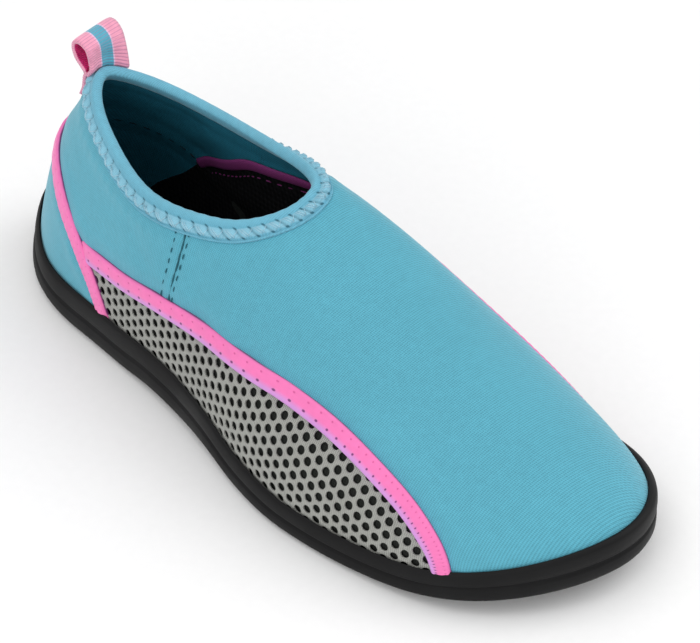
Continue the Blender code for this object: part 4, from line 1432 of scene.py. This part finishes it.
def stitch_row(sheet, line, pitch, reach, off, radius):
    """Row of stitches along a line, each over a share of the pitch; those outside are arched."""
    last = len(line) - 1
    count = int(run_along(on_last(line))[-1] / pitch)
    arch = STITCH_ARCH * np.sin(np.linspace(0.0, math.pi, 4)) * (off > -WALL)
    for i in range(count):
        spots = (np.linspace(*reach, 4) + i) / count * last
        turn, climb = rows_at(line, np.clip(spots, 0.0, last)).T
        if climb.min() > LOWEST_STITCH_CLIMB:
            thread(sheet, skin(turn, climb, off + arch), radius)


def thread_piece(sheet, name, finish, stands_for=None):
    """Turn rows of stitches into a piece of their own."""
    close_seams(sheet, 1e-6)
    bmesh.ops.recalc_face_normals(sheet, faces=sheet.faces)
    piece(sheet, name, (finish,), stands_for)


def make_seam_stitches():
    """Joined edges of the collar's halves on each side, with the rows of stitches beside them."""
    sheet = bmesh.new()
    for seam, sign in COLLAR_SEAMS:
        path = open_curve(seam, 121)
        for offset, reach, off, radius in SEAM_ROWS:
            stitch_row(sheet, beside(path, sign * offset), SEAM_STITCH_PITCH, reach, off, radius)
    thread_piece(sheet, "seam_stitches", TEAL_THREAD)


def make_lining_stitches():
    """Stitches on the inside: dark ones along the heel tape, plum ones along the lining's edge."""
    dark = bmesh.new()
    plum = bmesh.new()
    for side in ("lateral", "medial"):
        stitch_row(dark, heel_line(side, 121), LINING_STITCH_PITCH, (0.1, 0.7), -WALL - 0.0002, 0.00030)
        step = -seam_table(side)[1] * LINING_TAPE_WIDTH
        stitch_row(plum, beside(lining_edge(side, LINING_TAPE_START, 121), step), LINING_STITCH_PITCH,
                   (0.1, 0.6), -WALL - LINING_MESH_PROUD - LINING_SEWN_GAP, 0.00024)
    thread_piece(dark, "heel_lining_stitches", DARK_THREAD)
    thread_piece(plum, "lining_stitches", PLUM_TAPE)


# Pull loop

# Webbing sewn to the heel, from its hidden end up to the collar edge: shares of BINDING_WIDTH
# below the collar edge
LOOP_INNER_LAYER = (0.55, 0.28, 0.00)
# Side view of the loop's free part, up from the binding, over the ridge and down behind: shares
# of LOOP_LEAN backwards and of LOOP_RISE upwards from the collar edge
LOOP_SIDE = (
    (0.21, 0.34),
    (0.22, 0.60),
    (0.29, 0.85),
    (0.50, 1.00),
    (0.75, 1.02),
    (0.95, 0.90),
    (1.02, 0.66),
    (1.00, 0.40),
    (0.91, 0.15),
)
# Outer layer down to its end on the upper: share of BINDING_WIDTH below the collar edge, and how
# much of the height of the inner layer and the binding it still lies over
LOOP_OUTER_LAYER = (
    (0.45, 1.00),
    (0.72, 0.80),
    (1.00, 0.52),
    (1.40, 0.16),
    (1.90, 0.00),
)
# How much higher the loop's medial edge stands, as a share of the distance across
LOOP_TILT = 0.11
# Over how many rows the webbing goes from the heel's curve to straight
LOOP_BLEND_ROWS = 4
LOOP_COLUMNS = 5
# Height of the webbing's ribs, and how much thinner it is at its edges
WEBBING_RIB = 0.00010
WEBBING_RIM_DROP = 0.00035


def heel_row(across, share, outset):
    """Webbing lying on the curved heel at a share of BINDING_WIDTH below the collar edge."""
    climb = climb_below_collar(0.0, share * BINDING_WIDTH)[0]
    points = skin(np.linspace(-0.08, 0.08, 81), climb, outset)
    runs = run_along(points)
    return rows_at(points, across * WEBBING_WIDTH - LOOP_SIDESTEP, runs - runs[40])


def loop_sheet(across):
    """Middle surface of the webbing, row by row from its inner end to its outer end."""
    over_upper = SEWN_GAP + 0.5 * WEBBING_THICKNESS
    over_binding = over_upper + SEWN_GAP + BINDING_THICKNESS
    over_layer = over_binding + SEWN_GAP + WEBBING_THICKNESS
    rows = [heel_row(across, share, over_binding) for share in LOOP_INNER_LAYER]
    outer = []
    for share, lift in LOOP_OUTER_LAYER:
        outer.append(heel_row(across, share, over_upper + lift * (over_layer - over_upper)))
    straight = np.outer(-across * WEBBING_WIDTH, np.array([0.0, 1.0, LOOP_TILT]))
    middle = len(across) // 2
    bent_inner = rows[-1] - rows[-1][middle] - straight
    bent_outer = outer[0] - outer[0][middle] - straight
    collar = rib(0.0, 1.0)
    count = len(LOOP_SIDE)
    for i, (lean, rise) in enumerate(LOOP_SIDE):
        centre = collar + np.array([-lean * LOOP_LEAN, LOOP_SIDESTEP, rise * LOOP_RISE])
        inner_share = ease(1.0 - (i + 1) / LOOP_BLEND_ROWS)
        outer_share = ease(1.0 - (count - i) / LOOP_BLEND_ROWS)
        rows.append(centre + straight + bent_inner * inner_share + bent_outer * outer_share)
    return np.array(rows + outer)


def make_pull_loop():
    """Ribbed webbing loop, striped outside and magenta inside."""
    count = 560
    columns = 14
    rows = loop_sheet(np.linspace(-0.5, 0.5, LOOP_COLUMNS))
    lengthwise = open_curve(rows.reshape(len(rows), -1), count + 1).reshape(count + 1, LOOP_COLUMNS, 3)
    spots = np.linspace(0.0, LOOP_COLUMNS - 1.0, columns + 1)
    fine = np.stack([rows_at(row, spots) for row in lengthwise])
    normal = unit(np.cross(np.gradient(fine, axis=0), np.gradient(fine, axis=1)))
    reach = run_along(fine[:, columns // 2])
    ribs = WEBBING_RIB * np.abs(np.sin(math.pi * reach / RIB_PITCH))
    thinner = WEBBING_RIM_DROP * np.abs(np.linspace(-1.0, 1.0, columns + 1)) ** 8
    proud = 0.5 * WEBBING_THICKNESS + ribs[:, None] - thinner
    sheet = flat_sheet(count, columns)
    lay_map(sheet, 1000.0 * reach[-1], 1000.0 * WEBBING_WIDTH)
    shape(sheet, on_grid(fine + normal * proud[..., None]))
    made = piece(sheet, "webbing_loop", (WEBBING, WEBBING_INSIDE), "pull_loop")
    wall(made, WEBBING_THICKNESS, 1)


# Insole and outsole

# The lip's rounded top, from the side inwards to the upper: share of the way, and lift
LIP_ROUND = ((0.30, 0.00035), (0.60, 0.00040), (0.85, 0.00020), (1.00, -0.00020))
SOLE_EDGE_ANGLE = 50.0
# How far the footbed is hollowed away from its edge, and over what distance
FOOTBED_HOLLOW = 0.0008
HOLLOW_REACH = 0.0120
FOOTBED_ROUND = 0.0012
FOOTBED_WALL = 0.0022


def straight_stations(spacing, extra=()):
    """Places along the shoe, denser at both tips, and the turns of the two edges there."""
    count = int(LENGTH / spacing)
    fine = np.linspace(-0.05, 1.05, 8801)
    edge = outline(fine)[:, 0]
    start = fine[:800][edge[:800].argmin()]
    middle = slice(3600, 5200)
    tip = fine[middle][edge[middle].argmax()]
    low, high = float(outline(start)[0]), float(outline(tip)[0])
    x = low + (high - low) * (0.5 - 0.5 * np.cos(np.linspace(0.0, math.pi, count)))
    near = [place for place in extra if low < place < high]
    clear = np.array([all(abs(place - other) > 0.0005 for other in near) for place in x])
    clear[[0, -1]] = True
    x = np.sort(np.concatenate([x[clear], near]))
    lateral = np.linspace(start, tip, 6000)
    medial = np.linspace(start + 1.0, tip, 6000)
    lateral_turn = np.interp(x, outline(lateral)[:, 0], lateral)
    medial_turn = np.interp(x, outline(medial)[:, 0], medial)
    medial_turn[0] = lateral_turn[0] + 1.0
    medial_turn[-1] = lateral_turn[-1]
    return x, lateral_turn, medial_turn


def groove_places():
    """Where the cross grooves of the tread run, as x."""
    places = []
    for start, end in TREAD_GROUPS:
        for i in range(int((end - start) * LENGTH / TREAD_PITCH) + 1):
            places.append(start * LENGTH + i * TREAD_PITCH)
    return places


def tread_rise(x, y, low_y, high_y):
    """How far the underside is cut away by the cross grooves."""
    margin = 2.0 * EDGE_ROUND + FOOT_INSET
    inner = ease((y - low_y - margin) / 0.0008) * ease((high_y - margin - y) / 0.0008)
    cut = np.zeros_like(x)
    for place in groove_places():
        deep = ease((0.5 * TREAD_GROOVE_WIDTH + 0.0001 - np.abs(x - place)) / 0.0003)
        cut = np.maximum(cut, deep * inner)
    return TREAD_DEPTH * cut


def make_outsole():
    """Rubber cup: rounded stepped side, lip that holds the upper, and grooved underside."""
    extra = []
    for place in groove_places():
        for side in (-0.5 * TREAD_GROOVE_WIDTH, 0.5 * TREAD_GROOVE_WIDTH):
            inwards = -0.0001 * math.copysign(1.0, side)
            extra += [place + side + inwards, place + side - 2.0 * inwards]
    x, lateral, medial = straight_stations(0.0016, extra)
    turns = np.concatenate([lateral, medial[-2:0:-1]])
    count = len(turns)
    edge = outline(turns)
    tall = side_height(edge[:, 0])
    rings = []
    for height_share, groove_share, round_share in SIDE_PROFILE:
        inset = SIDE_GROOVE * groove_share + EDGE_ROUND * round_share
        plan = outline(turns, -(inset + side_lean(edge[:, 0], height_share)))
        rings.append(np.column_stack([plan, ground_gap(plan[:, 0]) + height_share * tall]))
    climb = lip_climb(turns)
    rim, inner = rings[-1], skin(turns, climb, SEAT_GAP)
    for share, lift in LIP_ROUND:
        ring = rim * (1.0 - share) + inner * share
        ring[:, 2] = ground_gap(edge[:, 0]) + tall + lift
        rings.append(ring)
    for share in (0.6, 0.3, 0.0):
        rings.append(skin(turns, climb * share, SEAT_GAP))
    rings[-1][:, 2] = ground_gap(rings[-1][:, 0]) + FLOOR_THICKNESS
    sheet = flat_sheet(count, len(rings) - 1)
    shape(sheet, on_grid(np.array([np.vstack([ring, ring[:1]]) for ring in rings]).swapaxes(0, 1)))
    stations = len(x) - 1
    for ring, outside in ((rings[0], True), (rings[-1], False)):
        made = bmesh.ops.create_grid(sheet, x_segments=stations, y_segments=26, size=0.5)["verts"]

        def level(across, up, ring=ring, outside=outside):
            i = np.rint((across + 0.5) * stations).astype(int)
            share = 0.5 - up if outside else up + 0.5
            first, second = ring[i], ring[(count - i) % count]
            spot = first + (second - first) * share[:, None]
            spot[:, 2] = ground_gap(spot[:, 0])
            if outside:
                spot[:, 2] += tread_rise(spot[:, 0], spot[:, 1], first[:, 1], second[:, 1])
            else:
                spot[:, 2] += FLOOR_THICKNESS
            return spot

        shape(sheet, level, made)
    close_seams(sheet, 2e-5)
    made = piece(sheet, "rubber_cup", (RUBBER,), "outsole")
    made.data.set_sharp_from_angle(angle=math.radians(SOLE_EDGE_ANGLE))


def make_insole():
    """Black cloth footbed, rounded at its edge and slightly hollowed under heel and ball."""
    x, lateral, medial = straight_stations(0.0022)
    stations = len(x) - 1
    height_share = (FLOOR_THICKNESS + SEAT_GAP + INSOLE_THICKNESS) / SIDE_HEIGHT
    inset = FOOT_INSET + WALL + 2.0 * SEAT_GAP + side_lean(x, height_share)
    sheet = flat_sheet(stations, 40)
    first = outline(lateral, -inset)
    second = outline(medial, -inset)

    def footbed(across, up):
        i = np.rint(across * stations).astype(int)
        share = 0.5 - 0.5 * np.cos(math.pi * up)
        width = second[i] - first[i]
        spot = first[i] + width * share[:, None]
        rim = np.minimum(np.abs(share), np.abs(1.0 - share)) * np.linalg.norm(width, axis=1)
        rim = np.minimum(rim, np.minimum(spot[:, 0] - first[0, 0], first[-1, 0] - spot[:, 0]))
        lift = INSOLE_THICKNESS * (0.75 + 0.25 * ease(rim / FOOTBED_ROUND))
        lift -= FOOTBED_HOLLOW * ease(rim / HOLLOW_REACH)
        height = ground_gap(spot[:, 0]) + FLOOR_THICKNESS + SEAT_GAP + lift
        return np.column_stack([spot, height])

    shape(sheet, footbed)
    close_seams(sheet)
    made = piece(sheet, "footbed", (FOOTBED,), "insole")
    wall(made, FOOTBED_WALL)


# The studio


def make_floor():
    """Plain pale floor that runs past the picture on every side."""
    sheet = bmesh.new()
    bmesh.ops.create_grid(sheet, x_segments=8, y_segments=8, size=FLOOR_REACH)
    meshed(sheet, "floor", (make_floor_material(),))


def add_light(name, place, target, size, power):
    """Square soft light that faces a target."""
    data = bpy.data.lights.new(name, "AREA")
    data.shape = "SQUARE"
    data.size = size
    data.energy = power
    made = added(name, data)
    made.location = place
    made.rotation_euler = (Vector(target) - Vector(place)).to_track_quat("-Z", "Y").to_euler()


def make_studio():
    """White surroundings and the soft lights."""
    world = bpy.data.worlds.new("studio")
    bpy.context.scene.world = world
    world.use_nodes = True
    surround = world.node_tree.nodes["Background"]
    surround.inputs["Color"].default_value = (1.0, 1.0, 1.0, 1.0)
    surround.inputs["Strength"].default_value = SURROUND_STRENGTH
    for light in LIGHTS:
        add_light(*light)
    bpy.context.scene.view_settings.view_transform = "Standard"


def make_camera():
    """Camera where the picture was taken from."""
    turned = (Matrix.Rotation(math.radians(CAMERA_AZIMUTH), 3, "Z")
              @ Matrix.Rotation(math.radians(90.0 - CAMERA_ELEVATION), 3, "X")
              @ Matrix.Rotation(math.radians(CAMERA_ROLL), 3, "Z"))
    data = bpy.data.cameras.new("camera")
    data.sensor_width = 36.0
    data.sensor_fit = "HORIZONTAL"
    data.lens = FOCAL_PIXELS / PICTURE_WIDTH * data.sensor_width
    data.clip_start = 0.01
    data.clip_end = 20.0
    made = added("camera", data)
    made.location = Vector(CAMERA_TARGET) + turned @ Vector((0.0, 0.0, CAMERA_DISTANCE))
    made.rotation_euler = turned.to_euler()
    bpy.context.scene.camera = made


make_camera()
make_studio()
make_floor()
make_outsole()
make_insole()
make_upper()
for shoe_side in ("lateral", "medial"):
    make_mesh_panel(shoe_side)
    make_mesh_backing(shoe_side)
    make_side_tape(shoe_side)
    make_lining_mesh(shoe_side)
    make_lining_tape(shoe_side)
make_heel_tape()
make_collar_binding()
make_braid_threads()
make_seam_stitches()
make_lining_stitches()
make_pull_loop()
